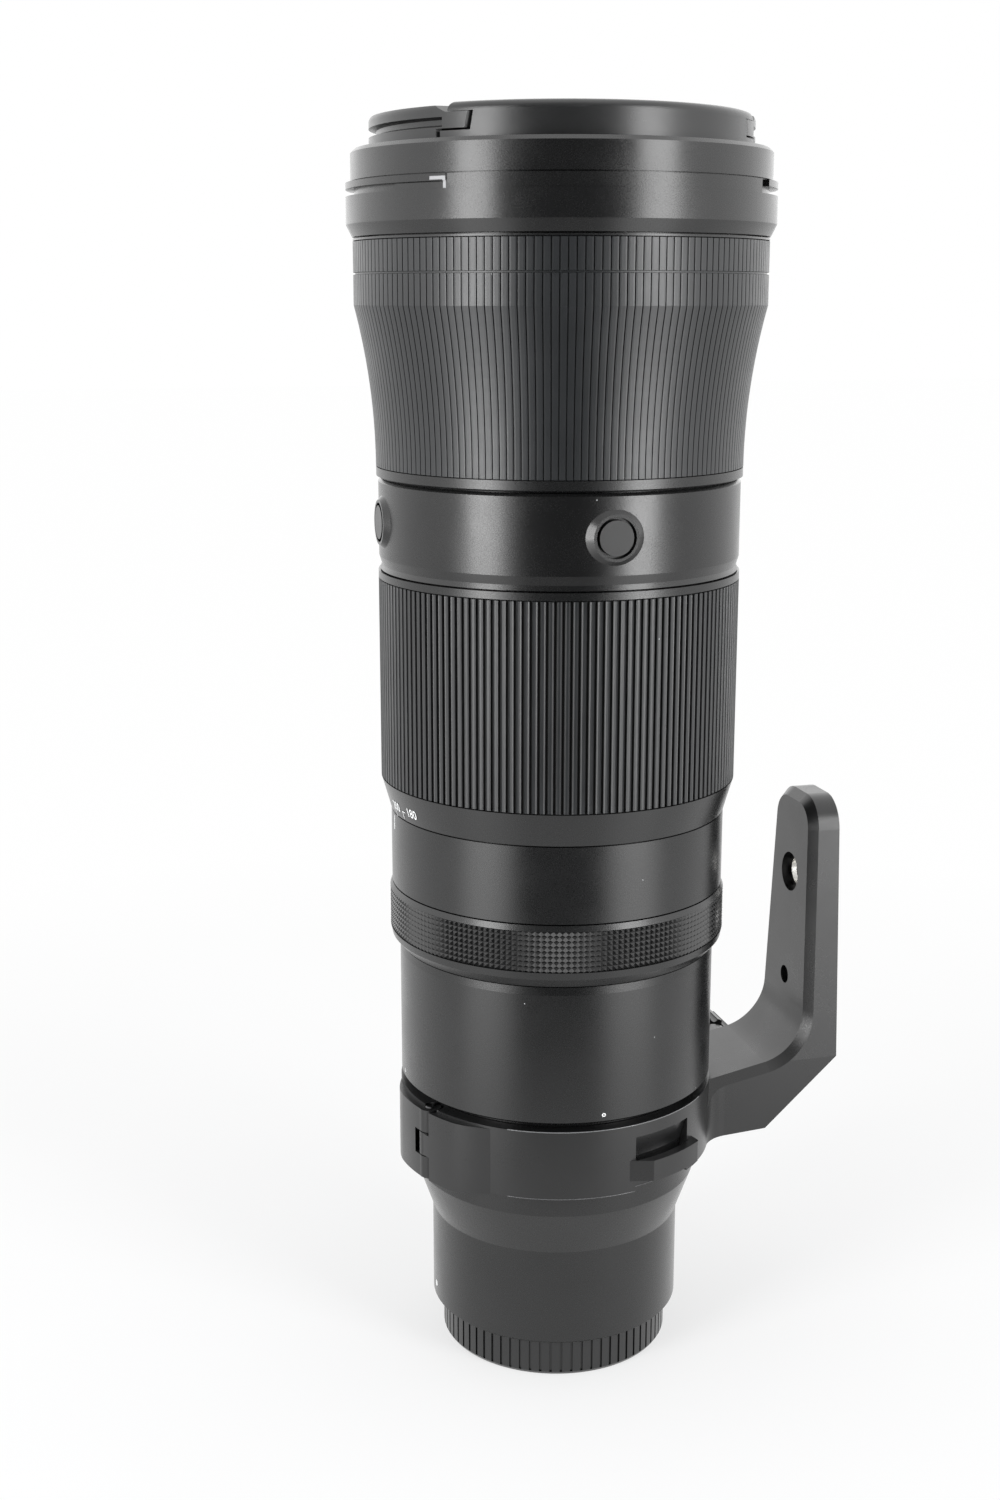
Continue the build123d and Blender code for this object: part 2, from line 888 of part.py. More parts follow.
# Cam barrel: turns with the zoom ring through its drive key
relay_bar = cam_path(relay_z, -relay_travel)
variator_bar = cam_path(variator_z, variator_travel)
with BuildPart() as cam_barrel:
    tube(cam_in, cam_r, z_zoom - cam_margin, z_fn - cam_top_margin)
    for angle in relay_angles:
        cam_slot(relay_bar, angle, relay_z, -relay_travel)
    for angle in variator_angles:
        cam_slot(variator_bar, angle, variator_z, variator_travel)
    brick(key_angle, key_z, key_width, key_height, cam_in + cam_wall / 2,
          zoom_in + key_reach)
save(cam_barrel, "cam_barrel")


def carriage(height, thick, lens_r, angles):
    """A lens frame with cam pins round it."""
    low = height - thick / 2
    lathe([
        (lens_r - carriage_ledge, low),
        (guide_in - slide_gap, low),
        (guide_in - slide_gap, low + thick),
        (lens_r, low + thick),
        (lens_r, low + carriage_floor),
        (lens_r - carriage_ledge, low + carriage_floor),
    ])
    for angle in angles:
        stud(angle, height, pin_r, guide_in - slide_gap - pin_root, cam_r - running)


with BuildPart() as relay_frame:
    carriage(relay_z, relay_thick, relay_lens_r, relay_angles)
save(relay_frame, "relay_frame")

with BuildPart() as variator_frame:
    carriage(variator_z, variator_thick, variator_lens_r, variator_angles)
save(variator_frame, "variator_frame")

z_relay_lens = relay_z - relay_thick / 2 + carriage_floor
with BuildPart() as relay_lens:
    glass(relay_lens_r - fit, carriage_ledge, z_relay_lens, z_relay_lens + relay_lens_edge,
          relay_lens_bulge, relay_lens_bulge)
save(relay_lens, "relay_lens")

z_variator_lens = variator_z - variator_thick / 2 + carriage_floor
with BuildPart() as variator_lens:
    glass(variator_lens_r - fit, carriage_ledge, z_variator_lens,
          z_variator_lens + variator_lens_edge, -carriage_floor, variator_lens_bulge)
save(variator_lens, "variator_lens")

# Zoom ring: a smooth foot with the scale, a core for the rubber and a lip above it
z_zoom_grip = z_zoom + zoom_foot_length
z_zoom_lip = z_fn - zoom_lip_length
with BuildPart() as zoom_ring:
    lathe([
        (zoom_in, z_zoom + seam),
        (zoom_r - zoom_foot_step, z_zoom + seam),
        (zoom_r, z_zoom_grip),
        (zoom_core_r, z_zoom_grip),
        (zoom_core_r, z_zoom_lip),
        (zoom_r, z_zoom_lip),
        (zoom_r, z_fn - seam),
        (zoom_in, z_fn - seam),
    ])
    brick(key_angle, key_z, key_width + 2 * fit, key_height + 2 * fit, zoom_in - overrun,
          zoom_in + key_reach + running, mode=Mode.SUBTRACT)
save(zoom_ring, "zoom_ring")

with BuildPart() as zoom_grip:
    ribbed_sleeve(zoom_core_r, zoom_r, z_zoom_grip + fit, z_zoom_lip - fit, zoom_rib_count,
                  zoom_groove_width, zoom_groove_depth)
save(zoom_grip, "zoom_grip")

# Function band: four button bosses, and the neck that carries the focus ring
z_fn_button = z_focus - fn_button_drop
z_focus_neck = z_focus + focus_neck_length
fn_angles = spread(fn_button_count)
with BuildPart() as fn_band:
    lathe([
        (neck_r + fit, z_fn),
        (fn_r - fn_lip_step, z_fn),
        (fn_r - fn_chamfer, z_fn + fn_lip_height),
        (fn_r, z_fn + fn_taper_height),
        (fn_r, z_focus - fn_chamfer),
        (fn_r - fn_chamfer, z_focus),
        (focus_neck_r, z_focus),
        (focus_neck_r, z_focus_neck),
        (focus_neck_in, z_focus_neck),
        (focus_neck_in, z_focus - edge_break),
        (fn_in, z_focus - edge_break - (fn_in - focus_neck_in)),
        (fn_in, z_guide_flange),
        (neck_in, z_guide_flange),
        (neck_in, z_rim_band),
        (neck_r + fit, z_rim_band),
    ])
    for angle in fn_angles:
        with Locations(radial_plane(angle, fn_r - boss_root, z_fn_button)):
            Cone(boss_r, boss_top_r, boss_root + boss_reach,
                 align=(Align.CENTER, Align.CENTER, Align.MIN))
        stud(angle, z_fn_button, key_well_r, fn_r + boss_reach - key_well_depth,
             fn_r + boss_reach + overrun, mode=Mode.SUBTRACT)
        stud(angle, z_fn_button, key_r + running, fn_in - overrun, fn_r, mode=Mode.SUBTRACT)
save(fn_band, "fn_band")

key_flange_out = fn_in - key_flange_drop
for index, angle in enumerate(fn_angles):
    with BuildPart() as fn2_button:
        stud(angle, z_fn_button, key_flange_r, key_flange_out - key_flange_thick,
             key_flange_out)
        stud(angle, z_fn_button, key_r, key_flange_out - key_flange_thick,
             fn_r + boss_reach + key_proud)
    save(fn2_button, f"fn2_button_{index + 1}")

# Focus ring: flared like the rubber on it, turning on the neck and the front barrel's tail
z_tail = z_focus_neck + tail_cone_start
z_tail_top = z_tail + tail_cone_length
z_focus_foot = z_focus + focus_foot_length
with BuildPart() as focus_ring:
    flare_outline(focus_core_r - focus_core_wall / 2,
                  focus_top_r - focus_grip_thick - focus_core_wall / 2, focus_core_r,
                  focus_top_r - focus_grip_thick, z_focus_foot, z_front - seam)
    lathe([
        (focus_in, z_focus + seam),
        (focus_r - focus_foot_step, z_focus + seam),
        (focus_r, z_focus + focus_foot_step),
        (focus_r, z_focus_foot),
        (focus_in, z_focus_foot),
    ])
    lathe([
        (focus_in, z_focus + seam),
        (focus_core_r, z_focus + seam),
        (focus_core_r, z_focus_foot),
        (focus_core_r, z_tail),
        (tail_r + slide_gap + focus_core_wall / 2, z_tail_top),
        (tail_r + slide_gap + focus_core_wall, z_front - seam),
        (tail_r + slide_gap, z_front - seam),
        (tail_r + slide_gap, z_tail_top),
        (focus_in, z_tail),
    ])
    tube(tail_r + slide_gap, focus_top_r, z_front - seam - focus_top_lip, z_front - seam)
save(focus_ring, "focus_ring")

with BuildPart() as focus_grip:
    flare_outline(focus_core_r, focus_top_r - focus_grip_thick, focus_r, focus_top_r,
                  z_focus_foot, z_front - seam - focus_top_lip)
save(focus_grip, "focus_grip")

# Front barrel: tail inside the focus ring, front ring, hood bayonet, hood band, filter thread
z_cell_ledge = z_focus + cell_seat_height - ledge_thick
z_cell = z_focus + cell_seat_height
z_filter = z_rim - filter_length
z_ledge = z_hood - hood_lug_thick - hood_ledge_gap
tail_in = focus_neck_in - fit - tail_wall
with BuildPart() as front_barrel:
    lathe([
        (tail_in, z_focus_neck - spigot_length),
        (focus_neck_in - fit, z_focus_neck - spigot_length),
        (focus_neck_in - fit, z_focus_neck),
        (focus_neck_r, z_focus_neck),
        (focus_neck_r, z_tail),
        (tail_r, z_tail_top),
        (tail_r, z_front),
        (front_r - front_chamfer, z_front),
        (front_r, z_front + 2 * front_chamfer),
        (front_r, z_groove),
        (groove_r, z_groove),
        (groove_r, z_hood + seam),
        (hood_r, z_hood + seam),
        (hood_r, z_rim - rim_round),
        (hood_r - rim_round, z_rim),
        (filter_r, z_rim),
        (filter_r, z_filter),
        (cell_bore_r, z_filter),
        (cell_bore_r, z_cell),
        (cell_bore_r - cell_ledge, z_cell),
        (cell_bore_r - cell_ledge, z_cell_ledge),
        (tail_in, z_tail),
    ])
    for angle in spread(2, hood_lug_angle):
        sector(block(groove_r - overrun, front_r, z_hood - hood_lug_thick, z_hood), angle,
               hood_lug_arc)
        sector(block(groove_r - overrun, front_r - hood_flush_step, z_groove, z_hood),
               angle + hood_lug_arc, 180 - hood_lug_arc - hood_notch_arc)
        sector(block(groove_r - overrun, front_r - hood_flush_step, z_groove, z_ledge),
               angle + hood_lug_arc - hood_ledge_arc, hood_ledge_arc + hood_notch_arc)
save(front_barrel, "front_barrel")

# Front cell with three elements and the retaining ring above them
cell_r = cell_bore_r - fit
cell_in_1 = cell_r - front_cell_fit_wall
cell_in_2 = cell_in_1 - cell_step
cell_in_3 = cell_in_2 - cell_step
z_cell_top = z_cell + front_cell_length
z_lens_3 = z_cell + cell_floor
z_lens_2 = z_cell + lens_2_rise
z_lens_1 = z_cell + lens_1_rise
with BuildPart() as front_lens_cell:
    lathe([
        (cell_in_3 - cell_step, z_cell),
        (cell_r, z_cell),
        (cell_r, z_cell_top),
        (cell_in_1, z_cell_top),
        (cell_in_1, z_lens_1),
        (cell_in_2, z_lens_1),
        (cell_in_2, z_lens_2),
        (cell_in_3, z_lens_2),
        (cell_in_3, z_lens_3),
        (cell_in_3 - cell_step, z_lens_3),
    ])
save(front_lens_cell, "front_lens_cell")

with BuildPart() as front_lens_3:
    glass(cell_in_3 - fit, cell_step, z_lens_3, z_lens_3 + lens_3_edge, lens_3_bulge_low,
          -lens_3_bulge_high)
save(front_lens_3, "front_lens_3")

with BuildPart() as front_lens_2:
    glass(cell_in_2 - fit, cell_step, z_lens_2, z_lens_2 + lens_2_edge, lens_2_bulge, lens_2_bulge)
save(front_lens_2, "front_lens_2")

with BuildPart() as front_lens_1:
    glass(cell_in_1 - fit, cell_step, z_lens_1, z_lens_1 + lens_1_edge, -lens_2_bulge, lens_1_bulge)
save(front_lens_1, "front_lens_1")

with BuildPart() as front_name_ring:
    lathe([
        (cell_r - name_ring_width, z_cell_top),
        (cell_r, z_cell_top),
        (cell_r, z_cell_top + name_ring_thick),
        (cell_r - name_ring_width / 2, z_cell_top + name_ring_thick),
    ])
save(front_name_ring, "front_name_ring")

# Diaphragm: housing in the guide tube, nine blades and the ring that drives them
z_iris = z_guide + iris_rise
iris_r = guide_in - fit
with BuildPart() as iris_housing:
    lathe([
        (iris_in, z_iris),
        (iris_r, z_iris),
        (iris_r, z_iris + iris_depth),
        (iris_r - iris_wall, z_iris + iris_depth),
        (iris_r - iris_wall, z_iris + iris_floor),
        (iris_in, z_iris + iris_floor),
    ])
    blade_out = iris_r - iris_wall - slide_gap
    blade_pin_circle = (blade_in + blade_out) / 2
    for angle in spread(blade_count, blade_arc / 2):
        post(angle, blade_pin_circle, blade_pin_r + fit, z_iris - overrun,
             z_iris + iris_floor + overrun, mode=Mode.SUBTRACT)
save(iris_housing, "iris_housing")

z_blade = z_iris + iris_floor
with BuildPart() as iris_blades:
    for angle in spread(blade_count):
        sector(block(blade_in, blade_out, z_blade, z_blade + blade_thick), angle, blade_arc)
        post(angle + blade_arc / 2, blade_pin_circle, blade_pin_r, z_blade - blade_pin_depth,
             z_blade + blade_thick)
save(iris_blades, "iris_blades")

with BuildPart() as iris_ring:
    tube(blade_out - iris_ring_width, blade_out, z_blade + slide_gap + blade_thick,
         z_blade + slide_gap + blade_thick + iris_ring_thick)
    with BuildSketch(turned_plane(45.0, z_blade + slide_gap + blade_thick)):
        with Locations((blade_out - iris_ring_width - iris_lever / 2 + fit, 0)):
            Rectangle(iris_lever, iris_lever_width)
    extrude(amount=iris_ring_thick + iris_ring_rise)
save(iris_ring, "iris_ring")

# Focus unit: two guide shafts, a motor with its lead screw and the focus frame
z_unit = z_guide + guide_floor_thick
z_frame = z_unit + focus_frame_rise
z_motor_top = z_unit + motor_length
shaft_angles = [90.0, 270.0]
motor_angle = 0.0
with BuildPart() as focus_guide_shafts:
    for angle in shaft_angles:
        post(angle, focus_shaft_circle, focus_shaft_r, z_unit, z_iris)
save(focus_guide_shafts, "focus_guide_shafts")

with BuildPart() as focus_motor:
    post(motor_angle, focus_shaft_circle, motor_r, z_unit, z_motor_top)
    post(motor_angle, focus_shaft_circle, screw_thread_r + running, z_motor_top - screw_socket,
         z_motor_top + overrun, mode=Mode.SUBTRACT)
save(focus_motor, "focus_motor")

with BuildPart() as lead_screw:
    post(motor_angle, focus_shaft_circle, screw_thread_r, z_motor_top - screw_socket + slide_gap,
         z_iris - slide_gap)
save(lead_screw, "lead_screw")

z_nut = z_frame + focus_frame_thick - nut_thick
arm_length = focus_shaft_circle - focus_lens_r - focus_floor


def focus_arm(angle, width, low, tall):
    """An arm from the focus frame's ring out to a shaft."""
    with BuildSketch(turned_plane(angle, low)) as profile:
        with Locations((focus_shaft_circle - arm_length / 2, 0)):
            Rectangle(arm_length, width)
    extrude(profile.sketch, amount=tall)


with BuildPart() as focus_frame:
    lathe([
        (focus_lens_r - focus_lens_ledge, z_frame),
        (focus_lens_r + focus_frame_wall, z_frame),
        (focus_lens_r + focus_frame_wall, z_frame + focus_frame_thick),
        (focus_lens_r, z_frame + focus_frame_thick),
        (focus_lens_r, z_frame + focus_floor),
        (focus_lens_r - focus_lens_ledge, z_frame + focus_floor),
    ])
    for angle in shaft_angles:
        post(angle, focus_shaft_circle, focus_sleeve_r, z_frame, z_frame + focus_frame_thick)
        focus_arm(angle, focus_sleeve_r, z_frame, focus_frame_thick)
        post(angle, focus_shaft_circle, focus_shaft_r + running, z_frame - overrun,
             z_frame + focus_frame_thick + overrun, mode=Mode.SUBTRACT)
    post(motor_angle, focus_shaft_circle, nut_r, z_nut, z_nut + nut_thick)
    focus_arm(motor_angle, nut_r, z_nut, nut_thick)
    post(motor_angle, focus_shaft_circle, screw_thread_r + running, z_nut - overrun,
         z_nut + nut_thick + overrun, mode=Mode.SUBTRACT)
save(focus_frame, "focus_frame")

with BuildPart() as focus_lens:
    glass(focus_lens_r - fit, focus_lens_ledge, z_frame + focus_floor,
          z_frame + focus_frame_thick - focus_floor, focus_lens_bulge, -focus_lens_bulge)
save(focus_lens, "focus_lens")

# Vibration reduction: a base on the rear barrel's spigot, a guide plate and a lens frame
z_vr = z_seat + spigot_length
z_vr_guide = z_vr + vr_base_thick + slide_gap
z_vr_frame = z_vr_guide + vr_guide_thick + slide_gap
with BuildPart() as vr_base:
    tube(vr_base_in, seat_in - fit, z_vr, z_vr + vr_base_thick)
save(vr_base, "vr_base")

with BuildPart() as vr_guide:
    tube(vr_guide_in, seat_in - vr_guide_margin, z_vr_guide, z_vr_guide + vr_guide_thick)
save(vr_guide, "vr_guide")

with BuildPart() as vr_frame:
    lathe([
        (vr_lens_r - vr_lens_ledge, z_vr_frame),
        (vr_frame_r, z_vr_frame),
        (vr_frame_r, z_vr_frame + vr_frame_thick),
        (vr_lens_r, z_vr_frame + vr_frame_thick),
        (vr_lens_r, z_vr_frame + vr_lens_ledge),
        (vr_lens_r - vr_lens_ledge, z_vr_frame + vr_lens_ledge),
    ])
save(vr_frame, "vr_frame")

with BuildPart() as vr_lens:
    glass(vr_lens_r - fit, vr_lens_ledge, z_vr_frame + vr_lens_ledge,
          z_vr_frame + vr_frame_thick - vr_lens_ledge, vr_lens_bulge, vr_lens_bulge)
save(vr_lens, "vr_lens")

# Rear cap: ribbed wall, floor and the lugs that hold it on the mount
z_rear_cap = z_flange - rear_cap_seam
rear_cap_core = rear_cap_r - rear_cap_rib_depth
rear_cap_in = rear_cap_r - rear_cap_wall
z_cap_lug = z_tube + mount_lug_thick + slide_gap
with BuildPart() as rear_cap:
    disc(rear_cap_core, 0, z_rear_cap)
    disc(rear_cap_in, rear_cap_floor, z_rear_cap + overrun, mode=Mode.SUBTRACT)
    lathe([
        (rear_cap_core - edge_break, 0),
        (rear_cap_r - edge_break, 0),
        (rear_cap_r, rear_cap_rib_start),
        (rear_cap_core - edge_break, rear_cap_rib_start),
    ])
    ribbed_sleeve(rear_cap_core - edge_break, rear_cap_r, rear_cap_rib_start, z_rear_cap,
                  rear_cap_rib_count, rear_cap_groove_width, rear_cap_rib_depth)
    for angle in spread(mount_lug_count, -mount_lug_arc / 2):
        sector(block(mount_tube_r + slide_gap, rear_cap_in + edge_break, z_cap_lug,
                     z_cap_lug + rear_cap_lug_thick), angle, mount_lug_arc)
save(rear_cap, "rear_cap")

# Tripod collar: a body with the foot, a strap hinged to it, and a clamp between them
collar_in = seat_r + collar_gap
collar_r = collar_in + collar_wall
z_collar_top = z_body - collar_drop
z_collar = z_collar_top - collar_height
z_lobe = z_collar - lobe_drop
z_knuckle_1 = z_lobe + knuckle_low_height
z_knuckle_2 = z_knuckle_1 + knuckle_mid_height
z_lobe_top = z_knuckle_2 + knuckle_top_height
hinge_circle = collar_in + hinge_out
lobe_r = collar_r + lobe_swell
hinge_x = hinge_circle * cos(radians(hinge_angle))
hinge_y = hinge_circle * sin(radians(hinge_angle))
split_y = foot_root_half + split_gap
lug_y = split_y + lug_thick
clamp_z = z_collar + collar_height / 2
foot_in = foot_reach - foot_thick
foot_low_in = foot_in - foot_draft


def at_hinge(radius, turn):
    """A point in plan at a turn away from the hinge."""
    return (radius * cos(radians(hinge_angle + turn)), radius * sin(radians(hinge_angle + turn)))


def half_lobe(turn):
    """The thickened end of a collar half at the hinge, fading back into the plain band."""
    full = turn * lobe_full_share
    side = 1 if turn > 0 else -1
    fading = at_hinge(side, full + 90)
    faded = at_hinge(side, turn + 90)
    with BuildSketch(Plane.XY.offset(z_lobe)) as plan:
        with BuildLine():
            Line(at_hinge(collar_in, 0), at_hinge(lobe_r, 0))
            ThreePointArc(at_hinge(lobe_r, 0), at_hinge(lobe_r, full / 2), at_hinge(lobe_r, full))
            Spline(at_hinge(lobe_r, full), at_hinge(collar_r - seam, turn), tangents=(fading, faded))
            Line(at_hinge(collar_r - seam, turn), at_hinge(collar_in, turn))
            Line(at_hinge(collar_in, turn), at_hinge(collar_in, 0))
        make_face()
        Circle(collar_in, mode=Mode.SUBTRACT)
    extrude(plan.sketch, amount=z_lobe_top - z_lobe)
    end = side * collar_r * sin(radians(abs(turn)))
    level = (side, 0)
    back = (-side, 0)
    with BuildSketch(radial_plane(hinge_angle, 0, 0)) as front:
        with BuildLine():
            Line((-end, z_lobe), (end * lobe_full_share, z_lobe))
            Spline((end * lobe_full_share, z_lobe), (end, z_collar), tangents=(level, level))
            Line((end, z_collar), (end, z_collar_top))
            Spline((end, z_collar_top), (end * lobe_full_share, z_lobe_top), tangents=(back, back))
            Line((end * lobe_full_share, z_lobe_top), (-end, z_lobe_top))
            Line((-end, z_lobe_top), (-end, z_lobe))
        make_face()
    extrude(front.sketch, amount=lobe_r + overrun, mode=Mode.INTERSECT)


def knuckle(low, high, radius, mode=Mode.ADD):
    """A round barrel of the hinge about its pin, or the room for one."""
    with BuildSketch(Plane.XY.offset(low)) as profile:
        with Locations((hinge_x, hinge_y)):
            Circle(radius)
    extrude(profile.sketch, amount=high - low, mode=mode)


def clamp_cylinder(radius, start, end, mode=Mode.ADD):
    """A cylinder on the axis of the clamp's screw."""
    plane = Plane(origin=(clamp_x, start, clamp_z), x_dir=(1, 0, 0), z_dir=(0, 1, 0))
    with BuildSketch(plane) as profile:
        Circle(radius)
    extrude(profile.sketch, amount=end - start, mode=mode)


def beside(low_y, high_y, mode):
    """A block at the clamp's side of the collar, between two heights in y."""
    with BuildSketch(Plane.XY.offset(z_lobe - overrun)) as profile:
        with BuildLine():
            Polyline((0, low_y), (foot_reach, low_y), (foot_reach, high_y), (0, high_y), close=True)
        make_face()
    extrude(profile.sketch, amount=foot_top, mode=mode)


def eyelet_slot(angle):
    """The slot behind an eyelet's bar, which gets shallower above it."""
    sector([
        (eyelet_floor_r, z_collar - overrun),
        (collar_r + eyelet_slot_out, z_collar - overrun),
        (collar_r + eyelet_slot_out, z_pocket),
        (collar_r - eyelet_pocket_lip, z_pocket),
        (eyelet_floor_r, z_eyelet + eyelet_height),
    ], angle - eyelet_slot_arc / 2, eyelet_slot_arc, mode=Mode.SUBTRACT)


def at_bar(radius, angle):
    """A point in plan on the eyelet bar, which is drawn about the X axis."""
    return (radius * cos(radians(angle)), radius * sin(radians(angle)))


# Eyelet bar, the same on both halves
z_eyelet = z_collar + eyelet_lift
z_pocket = z_collar + eyelet_pocket_height
eyelet_floor_r = collar_r - eyelet_pocket_depth
eyelet_root_r = collar_r - edge_break
eyelet_out_r = collar_r + eyelet_reach
eyelet_end = eyelet_slot_arc / 2 + degrees(eyelet_post / collar_r)
eyelet_near = degrees(eyelet_near_slant / collar_r) - eyelet_end
eyelet_far = eyelet_end - degrees(eyelet_far_slant / collar_r)
with BuildPart() as eyelet_bar:
    with BuildSketch(Plane.XY.offset(z_eyelet)) as bar_plan:
        with BuildLine():
            ThreePointArc(at_bar(eyelet_out_r, eyelet_near), (eyelet_out_r, 0),
                          at_bar(eyelet_out_r, eyelet_far))
            Line(at_bar(eyelet_out_r, eyelet_far), at_bar(eyelet_root_r, eyelet_end))
            ThreePointArc(at_bar(eyelet_root_r, eyelet_end), (eyelet_root_r, 0),
                          at_bar(eyelet_root_r, -eyelet_end))
            Line(at_bar(eyelet_root_r, -eyelet_end), at_bar(eyelet_out_r, eyelet_near))
        make_face()
    extrude(bar_plan.sketch, amount=eyelet_height)
    bar_edges = eyelet_bar.edges().filter_by(Axis.Z)
    ends = sorted(bar_edges, key=lambda e: hypot((e @ 0).X, (e @ 0).Y))[-2:]
    fillet(ends, eyelet_round)

with BuildPart() as body_lobe:
    half_lobe(lobe_arc)

with BuildPart() as strap_lobe:
    half_lobe(-lobe_arc)

# Foot and arm: a side view, narrowed to the front view, with the inner edges bevelled
with BuildPart() as foot_block:
    with BuildSketch(Plane.XZ) as side_view:
        with BuildLine():
            Line((foot_reach, foot_top), (foot_in, foot_top))
            Line((foot_in, foot_top), (foot_low_in, arm_fillet_z))
            TangentArc((foot_low_in, arm_fillet_z), (arm_mid_x, arm_mid_z),
                       tangent=(foot_low_in - foot_in, arm_fillet_z - foot_top))
            Line((arm_mid_x, arm_mid_z), (arm_root_x, arm_root_z))
            Line((arm_root_x, arm_root_z), (arm_root_x, z_collar))
            Line((arm_root_x, z_collar), (arm_under_x, z_collar + arm_under_rise))
            Line((arm_under_x, z_collar + arm_under_rise), (foot_reach, arm_knee_z))
            Line((foot_reach, arm_knee_z), (foot_reach, foot_top))
        make_face()
    extrude(side_view.sketch, amount=foot_root_half + overrun, both=True)
    with BuildSketch(Plane.YZ) as front_view:
        with BuildLine():
            Polyline(
                (-foot_root_half, z_collar - overrun),
                (foot_root_half, z_collar - overrun),
                (foot_root_half, arm_knee_z),
                (foot_top_half, foot_top),
                (-foot_top_half, foot_top),
                (-foot_root_half, arm_knee_z),
                close=True,
            )
        make_face()
    extrude(front_view.sketch, amount=foot_reach + overrun, mode=Mode.INTERSECT)
    top_edges = foot_block.edges().filter_by(Axis.X).group_by(Axis.Z)[-1]
    fillet(top_edges, foot_corner)
    bevelled = []
    for edge in foot_block.edges():
        start, middle, end = edge @ 0, edge @ 0.5, edge @ 1
        inner = middle.X < foot_in + fit and middle.Z > arm_root_z
        at_side = abs(middle.Y) > edge_break and abs(start.Z - end.Z) > edge_break
        if inner and (at_side or middle.Z > foot_top - fit):
            bevelled.append(edge)
    chamfer(bevelled, foot_bevel)

with BuildPart() as collar_body:
    sector(block(collar_in, collar_r, z_collar, z_collar_top), hinge_angle,
           360 - hinge_angle + clamp_overlap)
    add(body_lobe.part)
    add(foot_block.part)
    corner = (sqrt(collar_r**2 - foot_root_half**2), -foot_root_half, clamp_z)
    near_edge = collar_body.edges().filter_by(Axis.Z).sort_by_distance(corner)[0]
    fillet(near_edge, arm_blend)
    add(eyelet_bar.part.rotate(Axis.Z, -eyelet_angle))
    eyelet_slot(-eyelet_angle)
    beside(foot_root_half, 2 * collar_r, Mode.SUBTRACT)
    knuckle(z_lobe - overrun, z_knuckle_1 + knuckle_end_gap, knuckle_r + knuckle_gap,
            mode=Mode.SUBTRACT)
    knuckle(z_knuckle_2 - knuckle_end_gap, z_lobe_top + overrun, knuckle_r + knuckle_gap,
            mode=Mode.SUBTRACT)
    knuckle(z_knuckle_1 + knuckle_end_gap / 2, z_knuckle_2 - knuckle_end_gap / 2, knuckle_r)
    disc(collar_in, z_lobe - overrun, z_collar_top + overrun, mode=Mode.SUBTRACT)
    knuckle(z_lobe, z_lobe_top, hinge_pin_r + fit, mode=Mode.SUBTRACT)
    clamp_cylinder(clamp_mouth_r, foot_root_half - clamp_mouth_depth, foot_root_half + overrun,
                   mode=Mode.SUBTRACT)
    clamp_cylinder(clamp_tap_r, foot_root_half - clamp_tap_depth, foot_root_half,
                   mode=Mode.SUBTRACT)
    with Locations(Plane(origin=(foot_in - foot_draft, 0, large_hole_z), z_dir=(1, 0, 0))):
        Cylinder(large_hole_r, 3 * foot_thick, mode=Mode.SUBTRACT)
    with Locations(Plane(origin=(foot_in - foot_draft, 0, small_hole_z), z_dir=(1, 0, 0))):
        Cylinder(small_hole_r, 3 * foot_thick, mode=Mode.SUBTRACT)
    with Locations(Plane(origin=(foot_reach, 0, small_hole_z), z_dir=(-1, 0, 0))):
        Cone(small_hole_r + small_hole_mouth, small_hole_r, small_hole_mouth, mode=Mode.SUBTRACT,
             align=(Align.CENTER, Align.CENTER, Align.MIN))
save(collar_body, "collar_body")

with BuildPart() as collar_strap:
    sector(block(collar_in, collar_r, z_collar, z_collar_top), clamp_overlap / 2,
           hinge_angle - clamp_overlap / 2)
    add(strap_lobe.part)
    beside(-foot_reach, split_y, Mode.SUBTRACT)
    with BuildSketch(Plane(origin=(0, split_y, 0), x_dir=(1, 0, 0), z_dir=(0, 1, 0))) as lug:
        with Locations((clamp_x, -clamp_z)):
            Circle(lug_r)
        with BuildLine():
            Polyline(
                (arm_root_x, -clamp_z - lug_r),
                (clamp_x, -clamp_z - lug_r),
                (clamp_x, -clamp_z + lug_r),
                (arm_root_x, -clamp_z + lug_r),
                close=True,
            )
        make_face()
    extrude(lug.sketch, amount=lug_thick)
    add(eyelet_bar.part.rotate(Axis.Z, eyelet_angle))
    eyelet_slot(eyelet_angle)
    knuckle(z_knuckle_1 - knuckle_end_gap / 2, z_knuckle_2 + knuckle_end_gap / 2,
            knuckle_r + knuckle_gap, mode=Mode.SUBTRACT)
    knuckle(z_lobe, z_knuckle_1 - knuckle_end_gap / 2, knuckle_r)
    knuckle(z_knuckle_2 + knuckle_end_gap / 2, z_lobe_top, knuckle_r)
    disc(collar_in, z_lobe - overrun, z_collar_top + overrun, mode=Mode.SUBTRACT)
    knuckle(z_lobe - overrun, z_lobe_top + overrun, hinge_pin_r + running, mode=Mode.SUBTRACT)
    clamp_cylinder(clamp_screw_r + running, split_y - overrun, lug_y + overrun, mode=Mode.SUBTRACT)
save(collar_strap, "collar_strap")

with BuildPart() as hinge_pin:
    knuckle(z_lobe, z_lobe_top + hinge_pin_proud, hinge_pin_r)
    chamfer(hinge_pin.edges().group_by(Axis.Z)[-1], hinge_pin_proud)
save(hinge_pin, "hinge_pin")

# Threaded bush in the foot's large hole
bush_out = foot_reach - large_bush_inset
with BuildPart() as large_thread_bush:
    with BuildSketch(Plane(origin=(bush_out, 0, large_hole_z), z_dir=(-1, 0, 0))):
        Circle(large_hole_r - fit)
        Circle(large_bush_r_in, mode=Mode.SUBTRACT)
    extrude(amount=large_bush_length)
save(large_thread_bush, "large_thread_bush")

